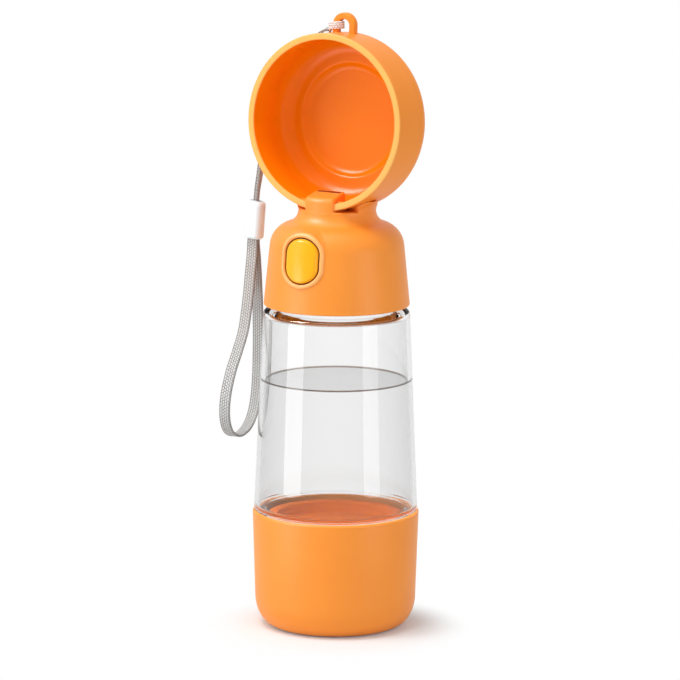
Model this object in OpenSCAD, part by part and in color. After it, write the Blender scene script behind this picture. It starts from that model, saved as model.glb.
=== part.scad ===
// Travel water bottle for dogs: a base cup with a dry-food hollow, a clear tank,
// a screw-on head with a push-button valve, and a round drinking bowl that is
// hinged on the head's neck and folds down over the front of the bottle.
// Frame: Z is up, the origin is the centre of the base's underside,
// and the bowl's mouth and the button face -Y. Lengths are in millimetres.

/* [Base cup] */
// Outer radius of the cup at its top edge
base_r = 36.1; // [32:0.1:44]
// Height of the cup
base_h = 50.7; // [40:0.1:70]
// How much narrower the cup's side is at the floor than at the top
base_draft = 1.2; // [0:0.1:4]
// How far in the rounded bottom edge reaches
base_edge_r = 8.9; // [5:0.1:10]
// How far up the rounded bottom edge reaches
base_edge_h = 13; // [8:0.1:16]
// Wall of the cup
base_wall = 2.6; // [2:0.1:3.5]
// Width of the ledge that carries the tank's spigot
ledge_w = 3.7; // [3:0.1:4.5]

/* [Tank] */
// Height from the base to the tank's shoulder
tank_h = 88; // [70:0.5:130]
// Outer radius at the shoulder
tank_top_r = 31.8; // [31:0.1:34]
// Wall of the tank
tank_wall = 2.2; // [1.6:0.1:3]
// Floor of the tank
tank_floor = 1.8; // [1.5:0.1:3]
// Rounding of the shoulder's corner
tank_corner_r = 2.6; // [1.5:0.1:3]
// Outer radius of the threaded neck
tank_neck_r = 26.2; // [24:0.1:27]
// Height of the threaded neck above the shoulder
tank_neck_h = 9.4; // [8:0.1:9.8]
// Depth of the spigot that screws into the base cup
spigot_h = 9.6; // [7:0.1:14]

/* [Head] */
// Gap that shows between the tank's shoulder and the head
rim_gap = 2; // [0.5:0.1:4]
// Outer radius of the head's lower rim
head_r = 31.5; // [31:0.1:34]
// Height of the head's side, from its rim to the start of the shoulder
head_side_h = 25.1; // [22:0.1:32]
// Outer radius where the shoulder starts
head_top_r = 29; // [28:0.1:31]
// Radius of the rounded shoulder
shoulder_r = 11; // [9:0.1:11.5]
// Wall of the head
head_wall = 1.8; // [1.5:0.1:2.2]
// Outer radius of the neck
neck_r = 16.7; // [16:0.1:17]
// Radius of the hollow curve from the shoulder into the neck
neck_fillet = 5.95; // [4:0.05:7]
// Radius of the bore that takes the outlet duct's top
neck_bore_r = 12.3; // [12:0.1:13]

/* [Hinge] */
// How far the hinge pin lies in front of the bottle's axis
pin_front = 11.5; // [11:0.1:12.5]
// Width of the hinge block on the neck
block_w = 14; // [12:0.5:16]
// Height of the hinge block above the pin
block_top = 3.6; // [3:0.1:4]
// Radius of the hinge pin
pin_r = 1.1; // [0.9:0.05:1.3]
// How far the upright bowl leans back, in degrees
bowl_lean = 3.3; // [0:0.1:5]

/* [Bowl] */
// Outer radius of the bowl
bowl_r = 37.9; // [34:0.1:42]
// Depth of the bowl over all
bowl_depth = 27; // [24:0.5:30]
// Wall of the bowl
bowl_wall = 2.8; // [2.2:0.1:3]
// Floor of the bowl
bowl_floor = 2.6; // [2.2:0.1:3.2]
// Radius of the rounded corner between wall and floor, outside
bowl_corner_r = 8; // [6:0.5:10]
// Radius of the shallow recess in the floor
recess_r = 24.5; // [18:0.5:25]
// Outer width of the strap lug
lug_w = 11; // [10:0.5:13]
// Radius of the hole through the strap lug
lug_hole_r = 2.75; // [2.4:0.05:3]
// Thickness of the strap lug
lug_t = 3.2; // [2.5:0.1:4]
// How far the lug stands behind the bowl's mouth
lug_depth = 15.4; // [13:0.1:18]

/* [Button and valve] */
// Width of the button's opening
button_w = 17.4; // [15:0.1:18]
// Height of the button's opening
button_h = 20.3; // [19:0.1:21]
// Height of the button's centre above the head's rim
button_up = 22.6; // [22:0.1:23]
// Running gap round the button
button_gap = 0.4; // [0.3:0.05:0.6]
// How far the button travels
button_travel = 2.2; // [1.5:0.1:2.4]
// Radius of the push rod
rod_r = 2.6; // [2.2:0.1:2.8]
// Radius of the valve plunger's stem
stem_r = 2; // [1.6:0.1:2.2]
// Radius of the port that the valve closes
port_r = 6.8; // [6:0.1:7.4]

/* [Strap] */
// Width of the flat webbing
strap_w = 5; // [4:0.5:6]
// Thickness of the webbing
strap_t = 1.1; // [0.8:0.1:1.4]

/* [Hidden] */
$fn = 96;

// Clearances
seat = 0.2;        // a face that rests on another
slip = 0.35;       // a moving curved face beside another
cradle = 0.6;      // the saddle round the bowl's wall
snug = 0.05;       // a shaft or ring held in its hole
running = 0.08;    // a shaft that turns or slides in its hole
eps = 0.01;

// Base cup and tank
base_foot_r = base_r - base_draft;
rim_step = 0.6;
tank_bottom_r = base_r - rim_step;
tank_z = base_h + seat;
shoulder_z = tank_z + tank_h;
neck_top_z = shoulder_z + tank_neck_h;
neck_wall = 1.9;
cup_in_top = base_r - base_wall;
cup_in_foot = base_foot_r - base_wall;
cup_side_h = base_h + 1 - base_edge_r;
spigot_end_z = tank_z - spigot_h;
spigot_r = cup_in_top - (cup_in_top - cup_in_foot) * (base_h + 1 - spigot_end_z) / cup_side_h - slip;
spigot_wall = 2.2;
ledge_r = base_r - base_wall - ledge_w;
ledge_t = 1.5;
seal_t = 1.2;
ledge_z = spigot_end_z - seat - seal_t - ledge_t;

// Head
head_z = shoulder_z + rim_gap;
side_angle = atan((head_r - head_top_r) / head_side_h);
shoulder_c = [head_top_r - shoulder_r, head_z + head_side_h];
neck_curve_x = neck_r + neck_fillet - shoulder_c[0];
neck_z = shoulder_c[1] + sqrt((shoulder_r + neck_fillet) ^ 2 - neck_curve_x ^ 2);
join_angle = atan2(neck_z - shoulder_c[1], neck_curve_x);
neck_flat_z = neck_z - 0.1;
bezel_w = 1.6;
bezel_out = 0.9;
hood_r = 7;
hood_z = shoulder_c[1] + 4.5;
button_z = head_z + button_up;

// Hinge: the pin sits in the bowl's wall, so its place follows the wall
pin_in = 3;
pin_back = 2.5;
lip_r = 1;
lip_sweep = norm([pin_back - lip_r, pin_in - lip_r]) + lip_r;
pin_z = neck_flat_z + slip + lip_sweep;
pin_y = -pin_front;
ear_r = 2.5;
ear_len = 4.2;
notch_gap = 0.4;
notch_reach = 8.6;
block_reach = 7;
block_front = pin_y - 4.7;
lug_rise = 2.9;

// Collar, duct and valve
collar_gap = 0.4;
collar_r = head_top_r - head_wall + 1.2;
collar_in = tank_neck_r + collar_gap;
gasket_t = 1.1;
roof_z = neck_top_z + 2 * seat + gasket_t;
roof_t = 2.2;
duct_z = roof_z + roof_t;
duct_r = 11.7;
duct_in = 9.4;
duct_tip_r = 10.6;
duct_flange_r = 15.6;
duct_flange_t = 1.8;
ring_t = 0.8;
duct_top_z = neck_z - 2.9;
bore_top_z = duct_top_z + 0.5;
screw_ring_r = 13.7;
guide_r = 3.4;
cone_r = 5.4;
cone_top_r = 1.4;
cone_z = button_z - 2.1;
cone_gap = 0.4;
gland_y = -14.4;
gland_r = 4.4;
gland_depth = 2;
gland_wall = 1.1;
flange_y = -24.6;
dome_r = 24;
dome_y = -31.4;
flange_t = 1.6;
flange_lip = 0.9;
flange_top_z = shoulder_c[1] + 4;
plug_t = 2.9;
plug_r = port_r + 1.6;

// Slider bead
bead_w = 8.9;
bead_d = 6.2;
bead_h = 16.8;
bead_lean = 4.4;
bead_at = [-40.95, -1.4, 174.5];

// Route of the upper strap, from beside the lug to the bead's top
UPPER = [[-6.3, 4.8, 259.6], [-8.4, 4.7, 258.9], [-10.8, 4.5, 258.1], [-14.7, 4.2, 256.6],
         [-19.1, 4, 254.5], [-23.1, 4, 251.9], [-26.8, 4, 248.8], [-30.1, 4, 245.4],
         [-33.3, 4, 240.9], [-35.9, 4, 236.1], [-37.8, 4, 230.9], [-39, 4, 225.6],
         [-39.4, 4, 220.1], [-39.4, 3.8, 213.5], [-39.4, 3, 206.5], [-39.6, 1.6, 199.5],
         [-39.8, 0.1, 193], [-40, -1, 188.2], [-40.19, -1.4, 184.3], [-40.3, -1.4, 182.9]];
// Route of the wrist loop, from the bead's underside round and back to it
LOOP = [[-41.6, -2.1, 166.1], [-41.76, -2.1, 164], [-41.5, -3.2, 158], [-41.2, -4.9, 151],
        [-40.6, -7.2, 143],
        [-39.8, -10.2, 135], [-38.6, -14.4, 127.5], [-37.7, -20.2, 120], [-37.1, -26, 112.6],
        [-36.9, -30, 104.6], [-37, -31.6, 97], [-37.4, -30.4, 90], [-38.3, -25.8, 84.6],
        [-39.2, -18.4, 82], [-39.7, -10.4, 83.8], [-40, -4.8, 89], [-40, -2, 96.6],
        [-40, -0.8, 105.4], [-39.9, -0.5, 115], [-39.9, -0.4, 125],
        [-40.1, -0.4, 135], [-40.6, -0.4, 146], [-41.2, -0.5, 157], [-41.76, -0.7, 164],
        [-41.6, -0.7, 166.1]];
LOOP_SIDE = [0.99, 0.13, 0];

ORANGE = "#F4923F";
DEEP_ORANGE = "#EF7A24";
YELLOW = "#FFC425";
CLEAR = [0.86, 0.92, 0.94, 0.35];
SILICONE = "#E9E4DA";
STEEL = "#B9BCC0";
WHITE = "#F4F2EF";
WEBBING = "#A9A8A8";

// Points of an arc about c, from angle a to angle b in degrees
function arc(c, r, a, b, n = 12) =
    [for (i = [0:n]) let (t = a + (b - a) * i / n) c + r * [cos(t), sin(t)]];

function unit(v) = v / norm(v);
function tangent(p, i) = unit(p[min(i + 1, len(p) - 1)] - p[max(i - 1, 0)]);

// A ring or tube between two radii, standing on z
module ring(outer, inner, z, h) {
    translate([0, 0, z])
        difference() {
            cylinder(r = outer, h = h);
            translate([0, 0, -1])
                cylinder(r = inner, h = h + 2);
        }
}

// A round-section ring lying flat at height z
module o_ring(mid_r, r, z) {
    translate([0, 0, z])
        rotate_extrude()
            translate([mid_r, 0])
                circle(r = r, $fn = 32);
}

// A rod along Y from y0 to y1 at height z
module rod_y(r, y0, y1, z) {
    translate([0, y0, z])
        rotate([-90, 0, 0])
            cylinder(r = r, h = y1 - y0);
}

// A rod along X, centred
module rod_x(r, len) {
    rotate([0, 90, 0])
        cylinder(r = r, h = len, center = true);
}

// A slot-shaped outline, w wide and h high
module slot_outline(w, h) {
    for (s = [-1, 1])
        translate([0, s * (h - w) / 2])
            circle(r = w / 2);
    square([w, h - w], center = true);
}

// The slot outline stood up and carried along Y from y0 to y1
module slot_y(w, h, y0, y1) {
    translate([0, y1, button_z])
        rotate([90, 0, 0])
            linear_extrude(height = y1 - y0)
                slot_outline(w, h);
}

// A swept cord of eight sides: wide across side, thick across the other way
module swept_cord(p, wide, thick, side) {
    n = len(p);
    grow = 1 / cos(22.5);
    ring_points = [for (i = [0:n - 1])
        let (t = tangent(p, i), b = unit(cross(t, side)), a = cross(b, t))
            for (k = [0:7])
                p[i] + grow * (a * cos(45 * k + 22.5) * wide + b * sin(45 * k + 22.5) * thick) / 2];
    walls = [for (i = [0:n - 2]) for (k = [0:7])
        [8 * i + k, 8 * i + (k + 1) % 8, 8 * (i + 1) + (k + 1) % 8, 8 * (i + 1) + k]];
    first = [for (k = [7:-1:0]) k];
    last = [for (k = [0:7]) 8 * (n - 1) + k];
    polyhedron(points = ring_points, faces = concat(walls, [first], [last]));
}

// ---- Base ----

module cup_outline(r_top, r_foot, edge, rise, z0, z1) {
    draft = atan((r_top - r_foot) / z1);
    corner = [for (p = arc([0, 0], 1, -90, -draft * rise / edge, 18))
        [r_foot - edge + edge * p[0], z0 + rise + rise * p[1]]];
    polygon(concat([[0, z0]], corner, [[r_top, z1], [0, z1]]));
}

module base_cup() {
    color(ORANGE)
        difference() {
            rotate_extrude()
                cup_outline(base_r, base_foot_r, base_edge_r, base_edge_h, 0, base_h);
            difference() {
                rotate_extrude()
                    cup_outline(cup_in_top, cup_in_foot, base_edge_r - base_wall,
                                base_edge_h - base_wall, base_wall, base_h + 1);
                ring(base_r, ledge_r, ledge_z, ledge_t);
            }
        }
}

module base_seal() {
    color(SILICONE)
        ring(spigot_r - 0.3, ledge_r + 0.6, ledge_z + ledge_t, seal_t);
}

// ---- Tank ----

module tank() {
    neck_in = tank_neck_r - neck_wall;
    lip_in = tank_bottom_r - tank_wall;
    top_in = tank_top_r - tank_wall;
    color(CLEAR)
        rotate_extrude()
            polygon(concat(
                [[0, tank_z], [spigot_r - spigot_wall, tank_z],
                 [spigot_r - spigot_wall, spigot_end_z], [spigot_r, spigot_end_z],
                 [spigot_r, tank_z]],
                arc([tank_bottom_r - 1, tank_z + 1], 1, -90, 0, 6),
                arc([tank_top_r - tank_corner_r, shoulder_z - tank_corner_r],
                    tank_corner_r, 0, 90),
                [[tank_neck_r, shoulder_z], [tank_neck_r, neck_top_z], [neck_in, neck_top_z],
                 [neck_in, shoulder_z - tank_wall]],
                arc([top_in - 1.5, shoulder_z - tank_wall - 1.5], 1.5, 90, 0, 6),
                arc([lip_in - 2, tank_z + tank_floor + 2], 2, 0, -90, 6),
                [[0, tank_z + tank_floor]]));
}

module neck_gasket() {
    color(SILICONE)
        ring(tank_neck_r - 0.1, tank_neck_r - neck_wall + 0.1, neck_top_z + seat, gasket_t);
}

// ---- Head ----

// Outside of the head from the rim to the neck: the round shoulder runs straight into
// the hollow curve of the neck
module head_outline() {
    polygon(concat(
        [[0, head_z], [head_r, head_z]],
        arc(shoulder_c, shoulder_r, side_angle, join_angle, 24),
        arc([neck_r + neck_fillet, neck_z], neck_fillet, 180 + join_angle, 180),
        [[neck_r, neck_flat_z], [0, neck_flat_z]]));
}

// Front of the button's bezel: the side's taper carried further up than the shoulder,
// so that the bezel stands out over the button like a hood
module hood_outline() {
    hood_x = head_r - (head_r - head_top_r) * (hood_z - head_z) / head_side_h - hood_r;
    polygon(concat(
        [[0, head_z], [head_r + bezel_out, head_z]],
        arc([hood_x, hood_z], hood_r + bezel_out, side_angle, 90),
        [[0, hood_z + hood_r + bezel_out]]));
}

// Flared saddle on the back of the neck, before the bowl's shape is taken out of it
module saddle_outline() {
    flare = 6.5;
    flare_z = neck_z - 0.6;
    polygon(concat([[0, flare_z], [neck_r, flare_z]],
                   arc([neck_r + flare, flare_z], flare, 180, 118),
                   [[0, flare_z + flare * sin(118)]]));
}

module head_cavity() {
    inner_r = shoulder_r - head_wall;
    ledge_top = roof_z + roof_t;
    rotate_extrude()
        polygon(concat(
            [[0, head_z - 1], [head_r - head_wall + 0.1, head_z - 1],
             [collar_r + 3 * snug, ledge_top], [collar_r - 1.4, ledge_top],
             [collar_r - 1.4, ledge_top + 1.2], [shoulder_c[0] + inner_r + 0.5, ledge_top + 2.6]],
            arc(shoulder_c, inner_r, side_angle, 90),
            [[neck_bore_r, shoulder_c[1] + inner_r], [neck_bore_r, bore_top_z], [0, bore_top_z]]));
}

module hinge_block() {
    top_z = pin_z + block_top;
    nose = 2.6;
    foot_z = neck_flat_z - 1;
    back_y = pin_y + block_reach;
    rotate([90, 0, 90])
        linear_extrude(height = block_w, center = true)
            polygon(concat([[block_front, foot_z], [back_y, foot_z]],
                           arc([back_y - 1, top_z - 1], 1, 0, 90, 4),
                           arc([block_front + nose, top_z - 1.6 - nose], nose, 90, 180, 8)));
}

module bowl_clearance() {
    in_bowl_frame()
        rotate_extrude()
            polygon(concat([[0, -10], [bowl_r + cradle, -10]],
                           arc([bowl_r - bowl_corner_r, bowl_depth - bowl_corner_r],
                               bowl_corner_r + cradle, 0, 90),
                           [[0, bowl_depth + cradle]]));
}

module housing() {
    color(ORANGE)
        difference() {
            union() {
                difference() {
                    union() {
                        rotate_extrude()
                            head_outline();
                        difference() {
                            rotate_extrude()
                                saddle_outline();
                            translate([-head_r, pin_y + lip_sweep + slip - 2 * head_r, neck_flat_z])
                                cube(2 * head_r);
                        }
                    }
                    bowl_clearance();
                }
                hinge_block();
                intersection() {
                    slot_y(button_w + 2 * bezel_w, button_h + 2 * bezel_w, -head_r - 5, -head_r / 2);
                    rotate_extrude()
                        hood_outline();
                }
            }
            head_cavity();
            slot_y(button_w, button_h, -head_r - 5, -duct_r);
            translate([0, pin_y + 4.9, bore_top_z])
                cube([10.4, 1.6, 40], center = true);
            translate([0, pin_y, pin_z])
                rod_x(pin_r + snug, block_w + 2);
        }
}

module threaded_collar() {
    color(DEEP_ORANGE)
        difference() {
            union() {
                ring(collar_r, collar_in, head_z + 0.6, roof_z - head_z - 0.6);
                difference() {
                    ring(collar_r, port_r, roof_z, roof_t);
                    for (a = [90, 210, 330])
                        rotate([0, 0, a])
                            translate([screw_ring_r, 0, roof_z + 0.6])
                                cylinder(r = 0.95, h = roof_t);
                    translate([0, 20.2, roof_z - 1])
                        cylinder(r = 1.3, h = roof_t + 2);
                }
                translate([0, 0, roof_z])
                    cylinder(r = guide_r, h = roof_t);
                for (a = [30, 150, 270])
                    rotate([0, 0, a])
                        translate([guide_r - 0.5, -0.8, roof_z])
                            cube([port_r - guide_r + 1, 1.6, roof_t]);
            }
            translate([0, 0, roof_z - 1])
                cylinder(r = stem_r + running, h = roof_t + 2);
        }
}

module outlet_duct() {
    color(WHITE)
        difference() {
            union() {
                translate([0, 0, duct_z])
                    cylinder(r = duct_flange_r, h = duct_flange_t);
                translate([0, 0, duct_z])
                    cylinder(r = duct_r, h = duct_top_z - 2 - duct_z);
                translate([0, 0, duct_z])
                    cylinder(r = duct_tip_r, h = duct_top_z - duct_z);
                rod_y(gland_r + gland_wall, gland_y, 0, button_z);
            }
            translate([0, 0, duct_z - 1])
                cylinder(r = duct_in, h = duct_top_z - duct_z + 2);
            rod_y(rod_r + running, gland_y - 1, 0, button_z);
            rod_y(gland_r, gland_y - 1, gland_y + gland_depth, button_z);
            for (a = [90, 210, 330])
                rotate([0, 0, a])
                    translate([screw_ring_r, 0, duct_z - 1])
                        cylinder(r = 1.05, h = duct_flange_t + 2);
        }
}

module duct_seal() {
    color(SILICONE)
        o_ring((duct_tip_r + neck_bore_r) / 2, ring_t - snug, duct_top_z - 2 + ring_t);
}

module duct_screws() {
    color(STEEL)
        for (a = [90, 210, 330])
            rotate([0, 0, a])
                translate([screw_ring_r, 0, 0]) {
                    translate([0, 0, duct_z + duct_flange_t])
                        difference() {
                            cylinder(r = 1.6, h = 1.3);
                            translate([0, 0, 0.6])
                                cube([2, 0.5, 2], center = true);
                        }
                    translate([0, 0, roof_z + 0.7])
                        cylinder(r = 0.9, h = roof_t + duct_flange_t - 0.7);
                }
}

module vent_valve() {
    color(SILICONE)
        translate([0, 20.2, 0])
            rotate_extrude()
                polygon([[0, duct_z + 1], [2.4, duct_z + 1], [2.4, duct_z + snug],
                         [1.2, duct_z + snug], [1.2, roof_z - 1], [0.5, roof_z - 2.4],
                         [0, roof_z - 2.4]]);
}

// Stem with a cone on top that the push rod's slanted end drives down
module valve_plunger() {
    plug_z = roof_z - seat - plug_t;
    color(WHITE)
        rotate_extrude()
            polygon([[0, plug_z - 1.2], [3.4, plug_z - 1.2], [3.4, plug_z], [stem_r, plug_z],
                     [stem_r, cone_z - 0.6], [cone_r, cone_z - 0.6], [cone_r, cone_z],
                     [cone_top_r, cone_z + cone_r - cone_top_r],
                     [0, cone_z + cone_r - cone_top_r]]);
}

module valve_plug() {
    color(SILICONE)
        rotate_extrude()
            translate([0, roof_z - seat - plug_t])
                polygon([[stem_r + snug, 0], [plug_r - 1.4, 0], [plug_r, 1.6], [plug_r, plug_t],
                         [stem_r + snug, plug_t]]);
}

module return_spring() {
    wire = 0.4;
    coil_r = stem_r + 1.4;
    turns = 4.5;
    steps = 72;
    low = duct_z + wire + 0.06;
    rise = cone_z - 0.6 - wire - 0.06 - low;
    path = [for (i = [0:steps])
        let (a = 360 * turns * i / steps)
            [coil_r * cos(a), coil_r * sin(a), low + rise * i / steps]];
    color(STEEL)
        swept_cord(path, 2 * wire, 2 * wire, [0, 0, 1]);
}

module push_rod() {
    slant = cone_z + cone_r + cone_gap;
    color(WHITE)
        difference() {
            rod_y(rod_r, flange_y + flange_t + 0.6, 0, button_z);
            translate([0, 0, slant])
                rotate([45, 0, 0])
                    translate([-10, -30, -30])
                        cube([20, 60, 30]);
        }
}

module button() {
    boss_r = rod_r + 1.6;
    boss_y = flange_y + flange_t;
    color(YELLOW)
        difference() {
            union() {
                intersection() {
                    slot_y(button_w - 2 * button_gap, button_h - 2 * button_gap,
                           -head_r - 5, flange_y + eps);
                    translate([0, dome_y + dome_r, button_z])
                        sphere(r = dome_r, $fn = 128);
                }
                intersection() {
                    slot_y(button_w + 2 * flange_lip, button_h + 2 * flange_lip,
                           flange_y, flange_y + flange_t);
                    translate([-head_r, -head_r, flange_top_z - 2 * head_r])
                        cube(2 * head_r);
                }
                rod_y(boss_r, boss_y - eps, boss_y + 4, button_z);
            }
            rod_y(rod_r + snug, boss_y + 0.6, boss_y + 5, button_z);
        }
}

module rod_seal() {
    inner = rod_r + snug;
    outer = gland_r - snug;
    color(SILICONE)
        translate([0, gland_y + gland_depth - (outer - inner) / 2 - snug, button_z])
            rotate([90, 0, 0])
                o_ring((inner + outer) / 2, (outer - inner) / 2, 0);
}

module rod_seal_cap() {
    color(WHITE)
        translate([0, 0, button_z])
            rotate([90, 0, 0])
                ring(gland_r + gland_wall, rod_r + 3 * running, -gland_y, 1);
}

// ---- Hinge and bowl ----

module hinge_pin() {
    color(STEEL)
        translate([0, pin_y, pin_z])
            rod_x(pin_r, block_w + 2 * notch_gap + 2 * (ear_len - 0.8));
}

// Puts a shape drawn about Z, with its mouth at z = 0, where the bowl is
module in_bowl_frame() {
    translate([0, pin_y, pin_z])
        rotate([-bowl_lean, 0, 0])
            translate([0, -pin_back, bowl_r - pin_in])
                rotate([-90, 0, 0])
                    children();
}

module bowl_outline() {
    r_in = bowl_r - bowl_wall;
    corner_in = bowl_corner_r - 1;
    floor_in = bowl_depth - bowl_floor;
    step = 0.8;
    polygon(concat(
        arc([r_in + lip_r, lip_r], lip_r, 180, 270, 6),
        arc([bowl_r - lip_r, lip_r], lip_r, 270, 360, 6),
        arc([bowl_r - bowl_corner_r, bowl_depth - bowl_corner_r], bowl_corner_r, 0, 90),
        [[0, bowl_depth], [0, floor_in + step], [recess_r - step, floor_in + step],
         [recess_r, floor_in]],
        arc([r_in - corner_in, floor_in - corner_in], corner_in, 90, 0)));
}

// Puts a shape drawn about Z where the centre of the strap lug's hole is
module at_lug() {
    translate([0, pin_y, pin_z])
        rotate([-bowl_lean, 0, 0])
            translate([0, lug_depth - pin_back, 2 * bowl_r - pin_in + lug_rise])
                rotate([90, 0, 0])
                    children();
}

module strap_lug() {
    root = lug_rise + 2.1;
    at_lug()
        linear_extrude(height = lug_t, center = true) {
            circle(r = lug_w / 2);
            translate([-lug_w / 2, -root])
                square([lug_w, root]);
        }
}

module bowl() {
    notch_w = block_w + 2 * notch_gap;
    pin_len = notch_w + 2 * (ear_len - 0.6);
    color(DEEP_ORANGE)
        difference() {
            union() {
                in_bowl_frame()
                    rotate_extrude()
                        bowl_outline();
                difference() {
                    strap_lug();
                    in_bowl_frame()
                        cylinder(r = bowl_r - bowl_wall / 2, h = bowl_depth);
                }
                translate([0, pin_y, pin_z])
                    rod_x(ear_r, notch_w + 2 * ear_len);
            }
            translate([0, pin_y, pin_z])
                rotate([-bowl_lean, 0, 0])
                    translate([-notch_w / 2, -10, -6])
                        cube([notch_w, 10 + notch_reach, 12]);
            translate([0, pin_y, pin_z])
                rod_x(pin_r + running, pin_len);
            at_lug()
                cylinder(r = lug_hole_r, h = lug_t + 2, center = true);
        }
}

// ---- Strap ----

module upper_strap() {
    color(WEBBING)
        swept_cord(UPPER, 2 * strap_t, 2 * strap_t, [0, 1, 0]);
}

module slider_bead() {
    slot_w = strap_w + 0.8;
    slot_t = 2 * strap_t + 0.8;
    color(WHITE)
        translate(bead_at)
            rotate([0, bead_lean, 0])
                linear_extrude(height = bead_h, center = true)
                    difference() {
                        union() {
                            for (s = [-1, 1])
                                translate([s * (bead_w - bead_d) / 2, 0])
                                    circle(r = bead_d / 2);
                            square([bead_w - bead_d, bead_d], center = true);
                        }
                        square([slot_w, slot_t], center = true);
                    }
}

module wrist_loop() {
    color(WEBBING)
        swept_cord(LOOP, strap_w, strap_t, LOOP_SIDE);
}

base_cup();
base_seal();
tank();
neck_gasket();
housing();
threaded_collar();
outlet_duct();
duct_seal();
duct_screws();
vent_valve();
valve_plunger();
valve_plug();
return_spring();
push_rod();
button();
rod_seal();
rod_seal_cap();
hinge_pin();
bowl();
upper_strap();
slider_bead();
wrist_loop();
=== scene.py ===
# %% [markdown]
# # A travel water bottle for dogs
#
# The bottle stands upright: an orange base cup, a clear tank with water in it, an orange head with a
# yellow button, and a deep round drinking bowl that is hinged on the head's neck. A flat woven strap
# hangs from a lug on the bowl. This lesson builds what the eye sees of it round a ready frame that
# holds the exact sizes. Sizes in the cells are in millimetres, because the bottle is, and one helper
# turns them into Blender's metres.

# %% Load the frame
import math

import bpy
import numpy as np
from mathutils import Matrix, Vector


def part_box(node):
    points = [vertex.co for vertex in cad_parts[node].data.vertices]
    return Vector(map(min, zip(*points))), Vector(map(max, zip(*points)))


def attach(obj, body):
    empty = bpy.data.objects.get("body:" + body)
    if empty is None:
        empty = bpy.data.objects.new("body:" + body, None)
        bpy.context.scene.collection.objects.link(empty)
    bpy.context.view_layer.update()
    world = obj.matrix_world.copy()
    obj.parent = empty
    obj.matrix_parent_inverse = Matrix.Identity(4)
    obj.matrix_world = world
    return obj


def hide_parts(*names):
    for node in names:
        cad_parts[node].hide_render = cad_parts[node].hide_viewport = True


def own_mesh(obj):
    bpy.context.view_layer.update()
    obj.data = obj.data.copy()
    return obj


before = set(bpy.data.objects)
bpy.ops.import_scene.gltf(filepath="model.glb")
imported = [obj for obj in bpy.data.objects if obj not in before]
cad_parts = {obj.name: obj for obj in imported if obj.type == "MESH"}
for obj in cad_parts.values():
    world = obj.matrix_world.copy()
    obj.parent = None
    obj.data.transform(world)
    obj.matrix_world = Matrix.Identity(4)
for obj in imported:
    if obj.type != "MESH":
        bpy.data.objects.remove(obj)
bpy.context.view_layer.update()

# %% [markdown]
# ## The camera
#
# A product picture is taken from far away with a long lens, so that upright sides stay nearly
# parallel. The camera stands 1.81 m off, a little above the bowl, and looks down by ten degrees. It
# could be placed by three coordinates and three turns. An angle round the bottle, a distance and a
# height say the same, and are easier to read and to change.

# %% Set up the camera
VIEW_ROUND = math.radians(31.5)
VIEW_DOWN = math.radians(10.25)
VIEW_ROLL = math.radians(0.3)
VIEW_DISTANCE, VIEW_HEIGHT = 1.8086, 0.4522

scene = bpy.context.scene
scene.view_settings.view_transform = "Standard"
camera_data = bpy.data.cameras.new("camera")
camera_data.lens = 225.4
camera_data.shift_x = 0.0051
camera_data.clip_end = 60
camera = bpy.data.objects.new("camera", camera_data)
scene.collection.objects.link(camera)
stand = (VIEW_DISTANCE * math.sin(VIEW_ROUND), -VIEW_DISTANCE * math.cos(VIEW_ROUND), VIEW_HEIGHT)
camera.matrix_world = (
    Matrix.Translation(stand)
    @ Matrix.Rotation(VIEW_ROUND, 4, "Z")
    @ Matrix.Rotation(math.pi / 2 - VIEW_DOWN, 4, "X")
    @ Matrix.Rotation(VIEW_ROLL, 4, "Z")
)
scene.camera = camera
print("camera at", [round(v, 3) for v in camera.matrix_world.translation])

# %% [markdown]
# ## Meshes from arrays
#
# Every piece here is a surface worked out with numpy. It could be modelled by hand or put together
# from ready cylinders, but a formula keeps each size exact and shows where a shape comes from. First
# come the outlines: points joined to arcs, written down once for each piece.

# %% Outlines
MM = 0.001


def arc(centre, radius, start, end, steps=12):
    """Points on a circle: centre plus radius times (cos t, sin t), for t from start to end in degrees."""
    t = np.radians(np.linspace(start, end, steps + 1))
    return np.stack([centre[0] + radius * np.cos(t), centre[1] + radius * np.sin(t)], 1)


def outline(*parts):
    """Joins single points and arcs into one array of points."""
    return np.concatenate([np.atleast_2d(np.asarray(p, float)) for p in parts])


print("a quarter circle in three points:", arc((0, 0), 1, 0, 90, 2).round(2).tolist())

# %% [markdown]
# A surface is a grid of points, rows by columns, with a quad between each four neighbours. It is
# either turned, like clay on a wheel, or lofted, a skin over a stack of rings. Faces must point
# outwards, so each outline is drawn the same way round: from the axis out, up the outside, and back
# to the axis.

# %% Turned and lofted surfaces
def grid_faces(rows, columns, wrap_rows=False, wrap_columns=False):
    """Quads of a grid whose point (i, j) is number i * columns + j; a wrapped side joins end to start."""
    i = np.arange(rows if wrap_rows else rows - 1)[:, None]
    j = np.arange(columns if wrap_columns else columns - 1)[None, :]
    up, over = (i + 1) % rows, (j + 1) % columns
    corners = (i * columns + j, i * columns + over, up * columns + over, up * columns + j)
    return np.stack(np.broadcast_arrays(*corners), -1).reshape(-1, 4)


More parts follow.
